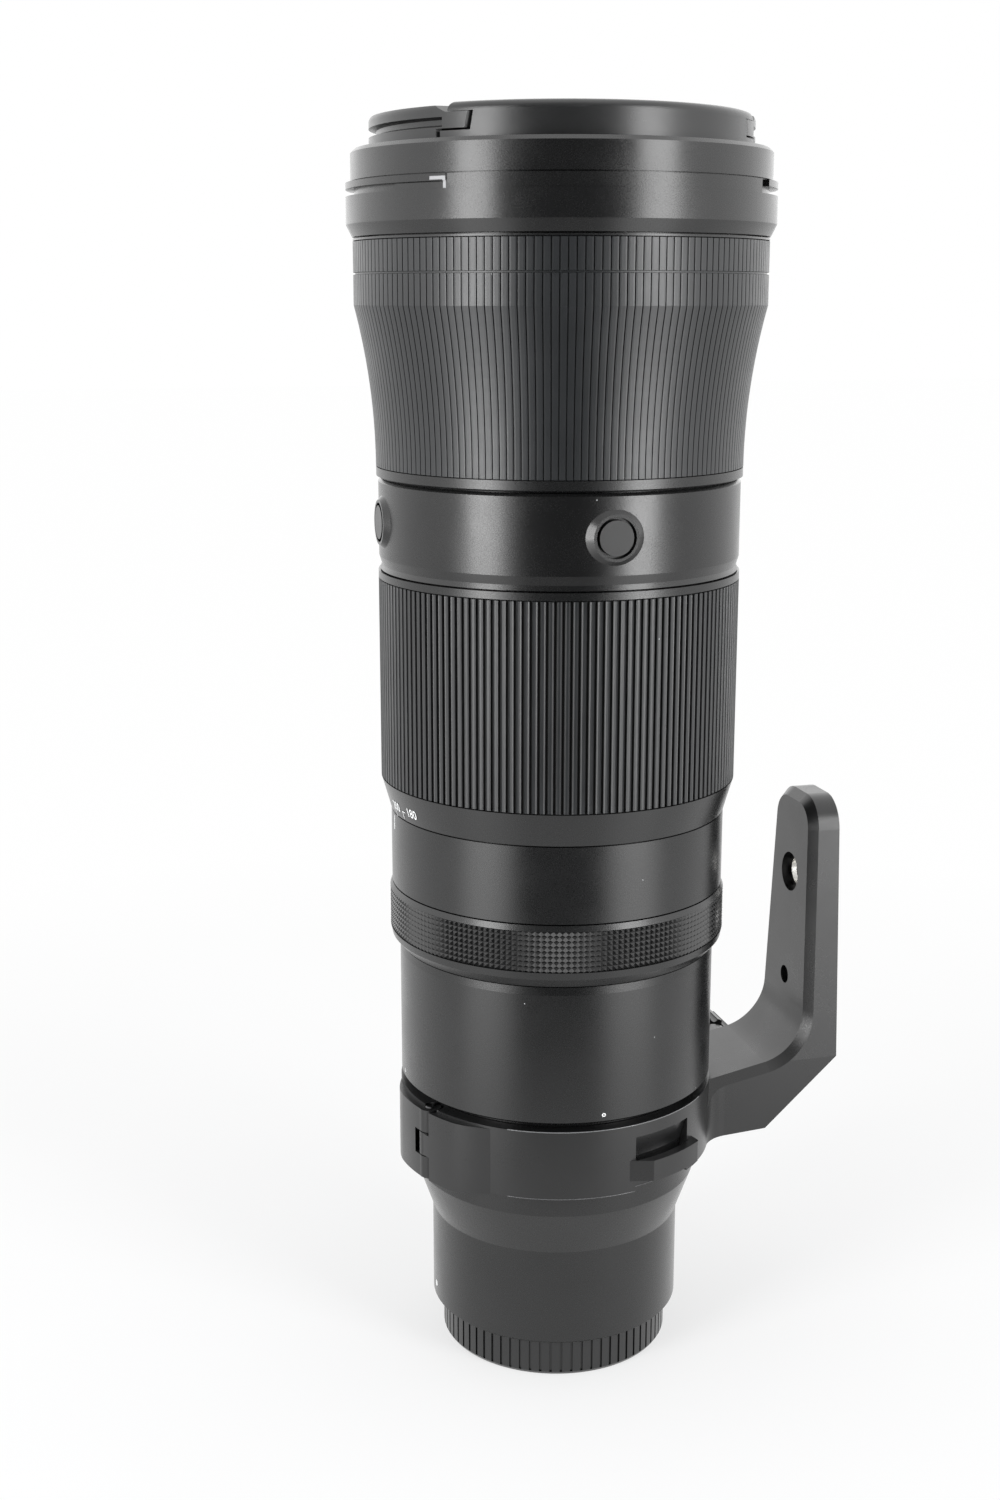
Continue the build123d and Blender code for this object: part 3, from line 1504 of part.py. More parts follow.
# Clamp screw, drawn backed out to the mouth of its thread, and its fluted knob
knob_y = lug_y + knob_gap
knob_body_y = knob_y + knob_hub_length
knob_end_y = knob_body_y + knob_length
socket_y = knob_y + clamp_knob_socket
with BuildPart() as clamp_screw:
    clamp_cylinder(clamp_screw_r, foot_root_half - clamp_screw_entry, socket_y)
save(clamp_screw, "clamp_screw")

with BuildPart() as clamp_knob:
    clamp_cylinder(knob_r, knob_body_y, knob_end_y)
    chamfer(clamp_knob.edges().group_by(Axis.Y)[-1], knob_edge)
    knob_plane = Plane(origin=(clamp_x, knob_body_y, clamp_z), x_dir=(1, 0, 0), z_dir=(0, 1, 0))
    with BuildSketch(knob_plane):
        with PolarLocations(knob_r, knob_flute_count):
            Circle(knob_flute_r)
    extrude(amount=knob_length, mode=Mode.SUBTRACT)
    clamp_cylinder(knob_hub_r, knob_y, knob_body_y)
    clamp_cylinder(clamp_screw_r + fit, knob_y - overrun, socket_y, mode=Mode.SUBTRACT)
save(clamp_knob, "clamp_knob")

# Front cap: a domed disc with a skirt in the filter thread, and two tabs that slide inward
z_cap = z_rim + front_cap_seam
z_cap_top = z_cap + front_cap_height
z_skirt = z_rim - front_cap_skirt
z_tab_mid = z_cap + tab_low_height
z_tab_top = z_tab_mid + tab_mid_height
skirt_r = filter_r - front_cap_skirt_gap
room = tab_travel + tab_gap
pocket_in = tab_mid_in - room
spring_start = pocket_in - spring_length
z_spring = z_tab_mid + tab_mid_height / 2
cap_tabs = {
    "front_cap_tab_right": tab_angle,
    "front_cap_tab_left": tab_angle + 180,
}


def tab_plate(angle, low, high, inner, half, lean=0.0, mode=Mode.ADD):
    """A plate of a front cap tab, or the room for one, whose ends lean out as they rise."""
    with BuildSketch(radial_plane(angle, inner, 0)) as profile:
        with BuildLine():
            Polyline((-half, low), (half, low), (half + lean, high), (-half - lean, high), close=True)
        make_face()
    extrude(profile.sketch, amount=front_cap_r + overrun - inner, mode=mode)


def beside_springs(angle, radius, inner, outer, mode=Mode.ADD):
    """A pair of cylinders that point along a tab's travel."""
    a = radians(angle)
    plane = Plane(origin=(0, 0, z_spring), x_dir=(-sin(a), cos(a), 0), z_dir=(cos(a), sin(a), 0))
    with BuildSketch(plane.offset(inner)) as profile:
        with Locations((-spring_spread, 0), (spring_spread, 0)):
            Circle(radius)
    extrude(profile.sketch, amount=outer - inner, mode=mode)


with BuildPart() as cap_disc:
    disc(front_cap_r, z_cap, z_cap_top)
    fillet(cap_disc.edges().group_by(Axis.Z)[-1], front_cap_round)

with BuildPart() as front_cap_body:
    add(cap_disc.part)
    disc(skirt_r, z_skirt, z_cap)
    disc(skirt_r - front_cap_rim, z_skirt - overrun, z_tab_mid - front_cap_web, mode=Mode.SUBTRACT)
    disc(front_cap_bore_r, z_cap - overrun, z_cap_top - front_cap_plate, mode=Mode.SUBTRACT)
    for angle in cap_tabs.values():
        tab_plate(angle, z_skirt - overrun, z_cap + overrun, tab_low_in - room,
                  tab_jaw_half + tab_gap, mode=Mode.SUBTRACT)
        tab_plate(angle, z_cap, z_tab_mid, tab_low_in - room, tab_low_half + tab_side_gap,
                  mode=Mode.SUBTRACT)
        tab_plate(angle, z_tab_mid - tab_low_gap, z_tab_top + running, pocket_in,
                  tab_mid_half + tab_side_gap, tab_mid_lean, mode=Mode.SUBTRACT)
        tab_plate(angle, z_tab_top, z_cap_top + overrun, tab_top_in - room,
                  tab_top_half + tab_side_gap / 2, mode=Mode.SUBTRACT)
        beside_springs(angle, spring_r + fit, spring_start, pocket_in + overrun, mode=Mode.SUBTRACT)
save(front_cap_body, "front_cap_body")

with BuildPart() as front_cap_springs:
    for angle in cap_tabs.values():
        beside_springs(angle, spring_r, spring_start, pocket_in + running)
        beside_springs(angle, spring_in, spring_start - overrun, pocket_in + overrun,
                       mode=Mode.SUBTRACT)
save(front_cap_springs, "front_cap_springs")

z_groove_low = z_tab_mid + tab_groove_rise
z_groove_high = z_groove_low + tab_groove_height
for name, angle in cap_tabs.items():
    with BuildPart() as tab_jaw:
        tab_plate(angle, z_cap - tab_jaw_drop, z_cap + running, tab_low_in, tab_jaw_half)
        disc(skirt_r, z_skirt, z_tab_mid, mode=Mode.INTERSECT)
    with BuildPart() as tab_groove:
        lathe([
            (front_cap_r - tab_groove_depth, z_groove_low + tab_groove_slope),
            (front_cap_r + overrun, z_groove_low - tab_groove_slope),
            (front_cap_r + overrun, z_groove_high + tab_groove_slope),
            (front_cap_r - tab_groove_depth, z_groove_high - tab_groove_slope),
        ])
        tab_plate(angle, z_cap, z_cap_top, tab_mid_in, tab_groove_half, mode=Mode.INTERSECT)
    with BuildPart() as tab:
        tab_plate(angle, z_cap + running, z_tab_mid, tab_low_in, tab_low_half)
        tab_plate(angle, z_tab_mid, z_tab_top, tab_mid_in, tab_mid_half, tab_mid_lean)
        tab_plate(angle, z_tab_top, z_tab_top + tab_top_height, tab_top_in, tab_top_half,
                  -tab_top_lean)
        add(cap_disc.part, mode=Mode.INTERSECT)
        add(tab_groove.part, mode=Mode.SUBTRACT)
        add(tab_jaw.part)
    save(tab, name)
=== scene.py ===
import json
import math

import bpy
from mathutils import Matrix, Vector


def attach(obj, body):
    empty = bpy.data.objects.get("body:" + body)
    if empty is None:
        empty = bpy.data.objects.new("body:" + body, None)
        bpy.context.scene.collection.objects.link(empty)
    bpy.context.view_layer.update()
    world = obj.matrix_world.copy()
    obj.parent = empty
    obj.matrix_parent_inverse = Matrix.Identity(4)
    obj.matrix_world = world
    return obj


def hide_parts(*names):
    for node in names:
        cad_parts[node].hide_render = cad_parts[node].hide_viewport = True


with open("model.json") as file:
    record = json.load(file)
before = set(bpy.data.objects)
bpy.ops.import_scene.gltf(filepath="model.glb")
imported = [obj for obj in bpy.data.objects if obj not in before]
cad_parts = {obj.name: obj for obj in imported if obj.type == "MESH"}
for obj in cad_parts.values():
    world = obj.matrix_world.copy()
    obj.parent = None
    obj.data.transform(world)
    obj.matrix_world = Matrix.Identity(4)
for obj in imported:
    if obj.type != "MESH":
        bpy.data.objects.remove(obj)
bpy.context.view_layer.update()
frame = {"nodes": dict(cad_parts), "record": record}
nodes = frame["nodes"]
MM = 0.001
scene = bpy.context.scene

# Camera: the solved viewing position of the photograph, in metres and degrees
EYE = (-0.1491, -0.4927, 0.290625)
TILT_DOWN, TURN = 13.178, -15.1
VIEW = math.atan2(EYE[1], EYE[0])
camera_data = bpy.data.cameras.new("camera")
camera_data.sensor_fit = "VERTICAL"
camera_data.sensor_height = 36.0
camera_data.lens = 46.4772
camera_data.clip_start = 0.01
camera = bpy.data.objects.new("camera", camera_data)
scene.collection.objects.link(camera)
camera.location = EYE
camera.rotation_euler = (math.radians(90.0 - TILT_DOWN), 0.0, math.radians(TURN))
scene.camera = camera


# Shader nodes
def add_node(tree, kind, links, **settings):
    """A shader node with its settings, each input linked to a socket or set to a constant."""
    made = tree.nodes.new("ShaderNode" + kind)
    for key, value in settings.items():
        setattr(made, key, value)
    for key, value in links.items():
        if isinstance(value, bpy.types.NodeSocket):
            tree.links.new(value, made.inputs[key])
        else:
            made.inputs[key].default_value = value
    return made


class Paint:
    """A node material with its Principled shader and a few short ways to wire it."""

    def __init__(self, name):
        self.material = bpy.data.materials.new(name)
        self.material.use_nodes = True
        self.tree = self.material.node_tree
        self.shader = self.tree.nodes["Principled BSDF"]
        self.place = self.node("TexCoord").outputs["Object"]

    def node(self, kind, links=None, **settings):
        return add_node(self.tree, kind, links or {}, **settings)

    def set(self, **values):
        for key, value in values.items():
            socket = self.shader.inputs[key.replace("_", " ")]
            if isinstance(value, bpy.types.NodeSocket):
                self.tree.links.new(value, socket)
            else:
                socket.default_value = value

    def noise(self, scale, detail=2.0, rough=0.5, place=None):
        links = {"Vector": place or self.place, "Scale": scale, "Detail": detail, "Roughness": rough}
        return self.node("TexNoise", links).outputs["Fac"]

    def span(self, value, low, high, out_low, out_high):
        """The value's range from low to high, spread over another range."""
        links = {"Value": value, "From Min": low, "From Max": high, "To Min": out_low, "To Max": out_high}
        return self.node("MapRange", links).outputs["Result"]

    def soft_step(self, value, low, high):
        links = {"Value": value, "From Min": low, "From Max": high}
        return self.node("MapRange", links, interpolation_type="SMOOTHSTEP").outputs["Result"]

    def combine(self, operation, first, second):
        return self.node("Math", {0: first, 1: second}, operation=operation).outputs[0]

    def mix(self, factor, first, second):
        links = {"Factor": factor}
        for key, value in (("A", first), ("B", second)):
            links[key] = value if isinstance(value, bpy.types.NodeSocket) else (*value, 1.0)
        return self.node("Mix", links, data_type="RGBA").outputs["Result"]

    def dust(self, colour, share):
        """Sparse fine specks: small Voronoi cores in a share of the cells, chosen at random."""
        cells = self.node("TexVoronoi", {"Vector": self.place, "Scale": SPECKS, "Randomness": 1.0})
        core = self.span(cells.outputs["Distance"], 0.03, 0.09, 1.0, 0.0)
        gate = self.node("TexWhiteNoise", {"Vector": cells.outputs["Position"]}, noise_dimensions="3D")
        chosen = self.span(gate.outputs["Value"], 1.0 - share, 1.0 - share * 0.9, 0.0, 1.0)
        return self.mix(self.combine("MULTIPLY", core, chosen), colour, DUST_TINT)

    def bump(self, height, strength, distance):
        made = self.node("Bump", {"Height": height, "Strength": strength, "Distance": distance})
        self.tree.links.new(made.outputs["Normal"], self.shader.inputs["Normal"])


# Materials: texture scales in cells per metre, the colour of dust, and the painted shade of a deep groove
SLOW, PATCHES, SPECKS, BRUSHED = 38.0, 90.0, 420.0, 900.0
DUST_TINT = (0.42, 0.43, 0.44)
GROOVE_SHADE = (0.002, 0.002, 0.002)


def coated(name, dark, light, rough, grain, depth, dust=0.0, groove_shade_radii=None):
    """Moulded or painted: slow tone changes, fine grain, specks of dust, and painted shade that darkens the
    colour towards the bottom of a groove.
    """
    paint = Paint(name)
    colour = paint.mix(paint.span(paint.noise(SLOW, 3.0), 0.35, 0.65, 0.0, 1.0), dark, light)
    if dust:
        colour = paint.dust(colour, dust)
    # Painted shade: the colour darkens to near black towards the bottom of the grooves, by distance from the
    # axis; the same mask raises the roughness
    if groove_shade_radii:
        flat = paint.node("VectorMath", {0: paint.place, 1: (1.0, 1.0, 0.0)}, operation="MULTIPLY")
        radius = paint.node("VectorMath", {0: flat.outputs["Vector"]}, operation="LENGTH")
        deep = paint.span(radius.outputs["Value"], groove_shade_radii[0], groove_shade_radii[1], 1.0, 0.0)
        colour = paint.mix(deep, colour, GROOVE_SHADE)
    fine = paint.noise(grain, 2.0, 0.6)
    base = paint.span(paint.noise(PATCHES), 0.3, 0.7, rough - 0.02, rough + 0.03)
    total = paint.combine("ADD", base, paint.span(fine, 0.3, 0.7, -0.03, 0.04))
    if groove_shade_radii:
        total = paint.combine("ADD", total, paint.combine("MULTIPLY", deep, 0.5))
    paint.set(Base_Color=colour, Roughness=total)
    paint.bump(fine, 1.0, depth)
    return paint.material


def metal(name, dark, light, rough, stretch, depth, rings=0.0):
    """Turned or ground metal: fine lines along one direction, or thread rings."""
    paint = Paint(name)
    place = paint.node("Mapping", {"Vector": paint.place, "Scale": stretch}).outputs["Vector"]
    lines = paint.noise(BRUSHED, 3.0, 0.6, place)
    colour = paint.mix(paint.span(lines, 0.3, 0.7, 0.0, 1.0), dark, light)
    ground = paint.span(lines, 0.3, 0.7, rough - 0.06, rough + 0.08)
    paint.set(Base_Color=colour, Metallic=1.0, Roughness=ground)
    if rings:
        wave = paint.node("TexWave", {"Vector": paint.place, "Scale": rings}, wave_type="BANDS",
                          bands_direction="X", wave_profile="TRI")
        paint.bump(wave.outputs["Fac"], 1.0, depth)
    else:
        paint.bump(lines, 0.6, depth)
    return paint.material


def optical(name):
    """Coated glass with a slow change of tint."""
    paint = Paint(name)
    tone = paint.span(paint.noise(25.0), 0.3, 0.7, 0.0, 1.0)
    colour = paint.mix(tone, (0.86, 0.93, 0.9), (0.9, 0.88, 0.96))
    polish = paint.span(paint.noise(600.0), 0.3, 0.7, 0.0, 0.02)
    paint.set(Base_Color=colour, Roughness=polish, Transmission_Weight=1.0, IOR=1.6, Coat_Weight=0.5)
    return paint.material


def circuit(name):
    """A circuit board: green fields between raised golden tracks."""
    paint = Paint(name)
    cells = paint.node("TexBrick", {"Vector": paint.place, "Scale": 260.0}).outputs["Fac"]
    colour = paint.mix(cells, (0.03, 0.14, 0.07), (0.3, 0.24, 0.1))
    paint.set(Base_Color=colour, Roughness=paint.span(paint.noise(500.0), 0.3, 0.7, 0.35, 0.5))
    paint.bump(cells, 0.5, 0.0001)
    return paint.material


SATIN = coated("satin_black", (0.0055, 0.0057, 0.0059), (0.0075, 0.0077, 0.008), 0.27, 2600.0, 1e-5, 0.006)
BAND = coated("band_black", (0.0045, 0.0046, 0.0048), (0.006, 0.0061, 0.0063), 0.25, 2900.0, 9e-6, 0.006)
KNURLED = coated("knurled_black", (0.004, 0.0041, 0.0043), (0.0055, 0.0056, 0.0058), 0.17, 2600.0, 6e-6,
                 0.006)
CASTING = coated("collar_casting", (0.0065, 0.0066, 0.0068), (0.009, 0.0091, 0.0094), 0.3, 2400.0, 1.1e-5,
                 0.004)
# Painted highlights for the collar's edges: a light grey, lighter for the top edge than for the lower one
EDGE_HIGHLIGHT = coated("painted_highlight_casting", (0.15, 0.152, 0.156), (0.2, 0.202, 0.208), 0.22, 2400.0, 5e-6)
LOW_EDGE_HIGHLIGHT = coated("painted_highlight_casting_low", (0.07, 0.071, 0.073), (0.1, 0.101, 0.104), 0.25, 2400.0, 5e-6)
GRIP = coated("grip_rubber", (0.010, 0.011, 0.012), (0.014, 0.0152, 0.0165), 0.35, 3800.0, 7e-6, 0.012)
# The zoom rubber gets painted shade in its grooves between these radii
ZOOM_GRIP = coated("zoom_rubber", (0.011, 0.0118, 0.0126), (0.0155, 0.0166, 0.0178), 0.35, 3800.0, 7e-6,
                   0.01, groove_shade_radii=(0.04728, 0.04768))
CAP = coated("cap_plastic", (0.009, 0.0093, 0.0096), (0.012, 0.0123, 0.0127), 0.32, 3200.0, 9e-6, 0.01)
KEY = coated("key_plastic", (0.005, 0.0051, 0.0053), (0.0068, 0.007, 0.0072), 0.34, 3200.0, 8e-6, 0.004)
INNER = coated("inner_plastic", (0.02, 0.02, 0.02), (0.03, 0.03, 0.03), 0.6, 2500.0, 3e-5)
GASKET = coated("gasket_rubber", (0.02, 0.02, 0.02), (0.03, 0.03, 0.03), 0.75, 2000.0, 3e-5)
WHITE = coated("mark_paint", (0.72, 0.73, 0.73), (0.8, 0.81, 0.81), 0.5, 4000.0, 1e-5)
# Painted highlight for the hood's stop: a light grey for the light caught on a chamfered end
STOP_HIGHLIGHT_GREY = coated("stop_highlight_paint", (0.28, 0.28, 0.29), (0.36, 0.36, 0.37), 0.45, 4000.0, 1e-5)
STEEL = metal("steel", (0.5, 0.5, 0.51), (0.66, 0.66, 0.67), 0.3, (1.0, 1.0, 0.15), 1e-5)
DARK_STEEL = metal("dark_steel", (0.05, 0.05, 0.052), (0.085, 0.085, 0.088), 0.32, (1.0, 1.0, 0.2), 1e-5)
THREADED = metal("threaded_steel", (0.3, 0.295, 0.285), (0.5, 0.49, 0.47), 0.26, (0.2, 1.0, 1.0), 3.5e-4,
                 98.0)
CHROME = metal("chrome", (0.62, 0.62, 0.63), (0.74, 0.74, 0.75), 0.16, (1.0, 1.0, 0.2), 5e-6)
ALUMINIUM = metal("aluminium", (0.5, 0.5, 0.52), (0.64, 0.64, 0.66), 0.35, (1.0, 1.0, 0.2), 1e-5)
GOLD = metal("gold", (0.75, 0.55, 0.2), (0.85, 0.66, 0.28), 0.22, (1.0, 1.0, 0.3), 1e-5)
GLASS = optical("optical_glass")
BOARD = circuit("board")

# Which material each slot gets, and the nodes that differ from their slot
by_slot = {
    "black_body": SATIN, "black_metal": SATIN, "collar_casting": CASTING, "grip_rubber": GRIP,
    "cap_plastic": CAP, "inner_plastic": INNER, "gasket_rubber": GASKET, "steel": STEEL,
    "chrome": CHROME, "aluminium": ALUMINIUM, "gold": GOLD, "optical_glass": GLASS, "board": BOARD,
}
special = {
    "fn_band": BAND, "front_barrel": BAND, "large_thread_bush": THREADED, "hinge_pin": DARK_STEEL,
    "fn2_button_1": KEY, "fn2_button_2": KEY, "fn2_button_3": KEY, "fn2_button_4": KEY,
    "fn_button": KEY, "focus_mode_switch": KEY, "focus_limit_switch": KEY,
}
slots = {part["node"]: part["material_slot"] for part in frame["record"]["subparts"]}
for name, obj in nodes.items():
    obj.data.materials.clear()
    obj.data.materials.append(special.get(name, by_slot[slots[name]]))


# Pieces, in millimetres
def mesh_object(name, points, faces, mat, body, smooth=False):
    """A mesh in the row frame that rides on a body."""
    data = bpy.data.meshes.new(name)
    data.from_pydata([tuple(c * MM for c in p) for p in points], [], faces)
    data.update()
    for face in data.polygons:
        face.use_smooth = smooth
    data.materials.append(mat)
    obj = bpy.data.objects.new(name, data)
    scene.collection.objects.link(obj)
    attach(obj, body)
    return obj


def around(radius, angle, height):
    """The point at a radius, an angle in radians and a height."""
    return radius * math.cos(angle), radius * math.sin(angle), height


def ribbed(name, heights, radius, depth, section, count, wall, plain, mat, body):
    """A closed ribbed sleeve. A rib's section gives shares of the pitch and offsets from the radius;
    the heights in plain are turned down to the groove's depth."""
    points, faces = [], []
    steps = count * len(section)
    pitch = 2 * math.pi / count
    for z in heights:
        for rib in range(count):
            for share, offset in section:
                r = radius(z) - (depth if z in plain else -offset)
                points.append(around(r, (rib + share) * pitch, z))
    for z in heights:
        for i in range(steps):
            rib, k = divmod(i, len(section))
            points.append(around(radius(z) - wall, (rib + section[k][0]) * pitch, z))
    rows = len(heights)
    under = rows * steps
    last = under - steps
    for i in range(steps):
        j = (i + 1) % steps
        for row in range(rows - 1):
            a, b = row * steps, (row + 1) * steps
            faces.append((a + i, a + j, b + j, b + i))
            faces.append((under + b + i, under + b + j, under + a + j, under + a + i))
        faces.append((under + i, under + j, j, i))
        faces.append((last + i, last + j, under + last + j, under + last + i))
    return mesh_object(name, points, faces, mat, body)


# Rubber of the focus ring: flat ribs on a flared sleeve, with one plain line
FOOT_Z, BEND_Z, TOP_Z = 247.55, 288.5, 304.35
FOOT_R, TOP_R = 48.2, 53.35
FOCUS_RIBS, FOCUS_DEPTH, FOCUS_WALL = 168, 0.5, 1.2
FOCUS_END, FLARE_STEP, FLARE_STEPS = 0.2, 3.0, 13
LINE_LOW, LINE_TOP, LINE_SLOPE = 296.1, 296.5, 0.1


def flare(z):
    """The sleeve's radius: a concave curve from the foot up to the bend, then straight."""
    reach = TOP_R - FOOT_R
    rise = BEND_Z - FOOT_Z
    big = (reach * reach + rise * rise) / (2 * reach)
    up = min(z, BEND_Z) - FOOT_Z
    return FOOT_R + big - math.sqrt(big * big - up * up)


flat_rib = [(0.0, 0.0), (0.02, -FOCUS_DEPTH), (0.125, -FOCUS_DEPTH), (0.145, 0.0), (0.36, 0.02), (0.8, 0.02)]
focus_heights = [FOOT_Z, FOOT_Z + FOCUS_END]
focus_heights += [FOOT_Z + FLARE_STEP * i for i in range(1, FLARE_STEPS + 1)] + [BEND_Z]
focus_heights += [LINE_LOW - LINE_SLOPE, LINE_LOW, LINE_TOP, LINE_TOP + LINE_SLOPE, TOP_Z - FOCUS_END, TOP_Z]
focus_grip = ribbed("focus_grip_ribs", focus_heights, flare, FOCUS_DEPTH, flat_rib, FOCUS_RIBS, FOCUS_WALL,
                    (FOOT_Z, LINE_LOW, LINE_TOP, TOP_Z), GRIP, "focus")
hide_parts("focus_grip")

# Rubber of the zoom ring: hollowed ribs with wide grooves between them
ZOOM_LOW, ZOOM_MIDDLE, ZOOM_TOP, ZOOM_END = 164.55, 200.0, 218.45, 0.25
ZOOM_R, ZOOM_RIBS, ZOOM_DEPTH, ZOOM_WALL = 47.9, 150, 0.75, 1.5
round_rib = [(0.0, -0.12), (0.03, -ZOOM_DEPTH), (0.32, -ZOOM_DEPTH), (0.35, -0.12), (0.41, 0.0),
             (0.55, -0.07), (0.8, -0.07), (0.94, 0.0)]
zoom_heights = [ZOOM_LOW, ZOOM_LOW + ZOOM_END, ZOOM_MIDDLE, ZOOM_TOP - ZOOM_END, ZOOM_TOP]
zoom_grip = ribbed("zoom_grip_ribs", zoom_heights, lambda z: ZOOM_R, ZOOM_DEPTH, round_rib, ZOOM_RIBS,
                   ZOOM_WALL, (ZOOM_LOW, ZOOM_TOP), ZOOM_GRIP, "zoom")
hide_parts("zoom_grip")


# Knurl of the control ring
def knurl(name, low, high, base, peak, columns, rows, mat, body):
    """Rows of small pyramids round a ring."""
    points, faces = [], []
    tall = (high - low) / rows
    turn = 2 * math.pi / columns
    for row in range(rows + 1):
        for col in range(columns):
            points.append(around(base, col * turn, low + row * tall))
    start = len(points)
    for row in range(rows):
        for col in range(columns):
            points.append(around(peak, (col + 0.5) * turn, low + (row + 0.5) * tall))
    for row in range(rows):
        for col in range(columns):
            a, b = row * columns + col, row * columns + (col + 1) % columns
            c, d = b + columns, a + columns
            tip = start + row * columns + col
            faces += [(a, b, tip), (b, c, tip), (c, d, tip), (d, a, tip)]
    return mesh_object(name, points, faces, mat, body)


KNURL_LOW, KNURL_TOP, KNURL_BASE, KNURL_PEAK = 122.15, 133.24, 45.47, 45.93
KNURL_COLUMNS, KNURL_ROWS = 184, 8
knurl("control_ring_knurl", KNURL_LOW, KNURL_TOP, KNURL_BASE, KNURL_PEAK, KNURL_COLUMNS, KNURL_ROWS,
      KNURLED, "control")


# Painted highlights on the collar's edges: thin light beads, the top one lighter than the lower; behind its
# eyelet the lower edge lies further in
BEAD, BEAD_SIDES = 0.13, 6
COLLAR_R, COLLAR_LOW, COLLAR_TOP = 43.5, 58.3, 77.3
EDGE_FROM, EDGE_TO = 236.5, 318.0
SLOT_FROM, SLOT_TO, SLOT_GAP, SLOT_R = 283.0, 309.0, 0.2, 41.1


def highlight_bead(name, start, end, radius, height, mat, steps):
    """A thin bead along a round edge, coloured light grey as a painted highlight on the corner."""
    points, faces = [], []
    for i in range(steps + 1):
        a = math.radians(start + (end - start) * i / steps)
        for k in range(BEAD_SIDES):
            t = 2 * math.pi * k / BEAD_SIDES
            points.append(around(radius + BEAD * math.cos(t), a, height + BEAD * math.sin(t)))
    for i in range(steps):
        a, b = BEAD_SIDES * i, BEAD_SIDES * (i + 1)
        for k in range(BEAD_SIDES):
            n = (k + 1) % BEAD_SIDES
            faces.append((a + k, b + k, b + n, a + n))
    first, last = range(BEAD_SIDES), range(BEAD_SIDES * steps, BEAD_SIDES * (steps + 1))
    faces += [tuple(first), tuple(reversed(last))]
    return mesh_object(name, points, faces, mat, "collar", True)


highlight_bead("collar_edge_top", EDGE_FROM, EDGE_TO, COLLAR_R, COLLAR_TOP, EDGE_HIGHLIGHT, 40)
highlight_bead("collar_edge_low", EDGE_FROM, SLOT_FROM - SLOT_GAP, COLLAR_R, COLLAR_LOW, LOW_EDGE_HIGHLIGHT, 40)
highlight_bead("collar_edge_slot", SLOT_FROM + SLOT_GAP, SLOT_TO - SLOT_GAP, SLOT_R, COLLAR_LOW, LOW_EDGE_HIGHLIGHT, 16)
highlight_bead("collar_edge_side", SLOT_TO + SLOT_GAP, EDGE_TO, COLLAR_R, COLLAR_LOW, LOW_EDGE_HIGHLIGHT, 8)


# Printed marks, laid on the surfaces that carry them
LIFT = 0.02


def printed(name, outline, angle, height, radius, body, mat=WHITE):
    """Flat shapes (points, faces), wrapped round the axis at an angle in degrees and a height."""
    points = []
    for x, y in outline[0]:
        z = height + y
        points.append(around(radius(z) + LIFT, math.radians(angle) + x / radius(height), z))
    return mesh_object(name, points, outline[1], mat, body)


def words(text, size, weight):
    """A line of plain lettering as points and faces, centred, its strokes widened by a weight."""
    curve = bpy.data.curves.new("letters", "FONT")
    curve.body = text
    curve.size = size
    curve.align_x = "CENTER"
    curve.align_y = "CENTER"
    curve.resolution_u = 4
    curve.offset = weight
    holder = bpy.data.objects.new("letters", curve)
    scene.collection.objects.link(holder)
    data = bpy.data.meshes.new_from_object(holder)
    shape = [(v.co.x, v.co.y) for v in data.vertices], [tuple(f.vertices) for f in data.polygons]
    bpy.data.objects.remove(holder)
    bpy.data.meshes.remove(data)
    return shape


def bar(x0, y0, x1, y1, steps=6):
    """A straight-sided mark, divided so that it can follow a curved surface."""
    points, faces = [], []
    for i in range(steps + 1):
        x = x0 + (x1 - x0) * i / steps
        points += [(x, y0), (x, y1)]
    for i in range(steps):
        k = 2 * i
        faces.append((k, k + 2, k + 3, k + 1))
    return points, faces


def stroke(half_wide, half_high, steps=6):
    """A bar centred on its place."""
    return bar(-half_wide, -half_high, half_wide, half_high, steps)


def circle(radius, steps):
    return [around(radius, 2 * math.pi * i / steps, 0.0)[:2] for i in range(steps)]


def dot(radius, steps=28):
    return circle(radius, steps), [tuple(range(steps))]


def ring(radius, hole, steps=28):
    faces = [(i, (i + 1) % steps, steps + (i + 1) % steps, steps + i) for i in range(steps)]
    return circle(radius, steps) + circle(hole, steps), faces


# The zoom scale: each number's angle, the strokes below the numbers, and the hooked stroke of the last one
CONE_Z, CONE_HIGH, CONE_R, CONE_RISE = 155.4, 9.1, 45.4, 2.5
LETTER, LETTER_WEIGHT, NUMBER_Z, STROKE = 3.4, 0.05, 158.75, 0.13
TICK_Z, TICK, SHORT_TICK_Z, SHORT_TICK, SHORT_TICK_ANGLE = 156.55, 1.0, 156.45, 0.9, 184.5
HOOK_Z, HOOK_DROP, HOOK_REACH, HOOK_ANGLE, HOOK_TOP_ANGLE = 158.3, 1.9, 1.5, 191.6, 191.5
SCALE = [("600", 110.5), ("500", 121.5), ("400", 136.5), ("300", 156.5), ("200", 186.4), ("180", 198.0)]


def cone(z):
    """The radius of the zoom ring's foot, which carries the scale."""
    return CONE_R + CONE_RISE * (z - CONE_Z) / CONE_HIGH


for number, angle in SCALE:
    printed("scale_" + number, words(number, LETTER, LETTER_WEIGHT), angle, NUMBER_Z, cone, "zoom")
for number, angle in SCALE[:4]:
    printed("scale_tick_" + number, stroke(STROKE, TICK), angle, TICK_Z, cone, "zoom")
printed("scale_tick_200", stroke(STROKE, SHORT_TICK), SHORT_TICK_ANGLE, SHORT_TICK_Z, cone, "zoom")
printed("scale_lead_180", bar(-STROKE, -HOOK_DROP, STROKE, 0.0), HOOK_ANGLE, HOOK_Z, cone, "zoom")
printed("scale_lead_180_top", bar(0.0, -STROKE, HOOK_REACH, STROKE), HOOK_TOP_ANGLE, HOOK_Z, cone, "zoom")

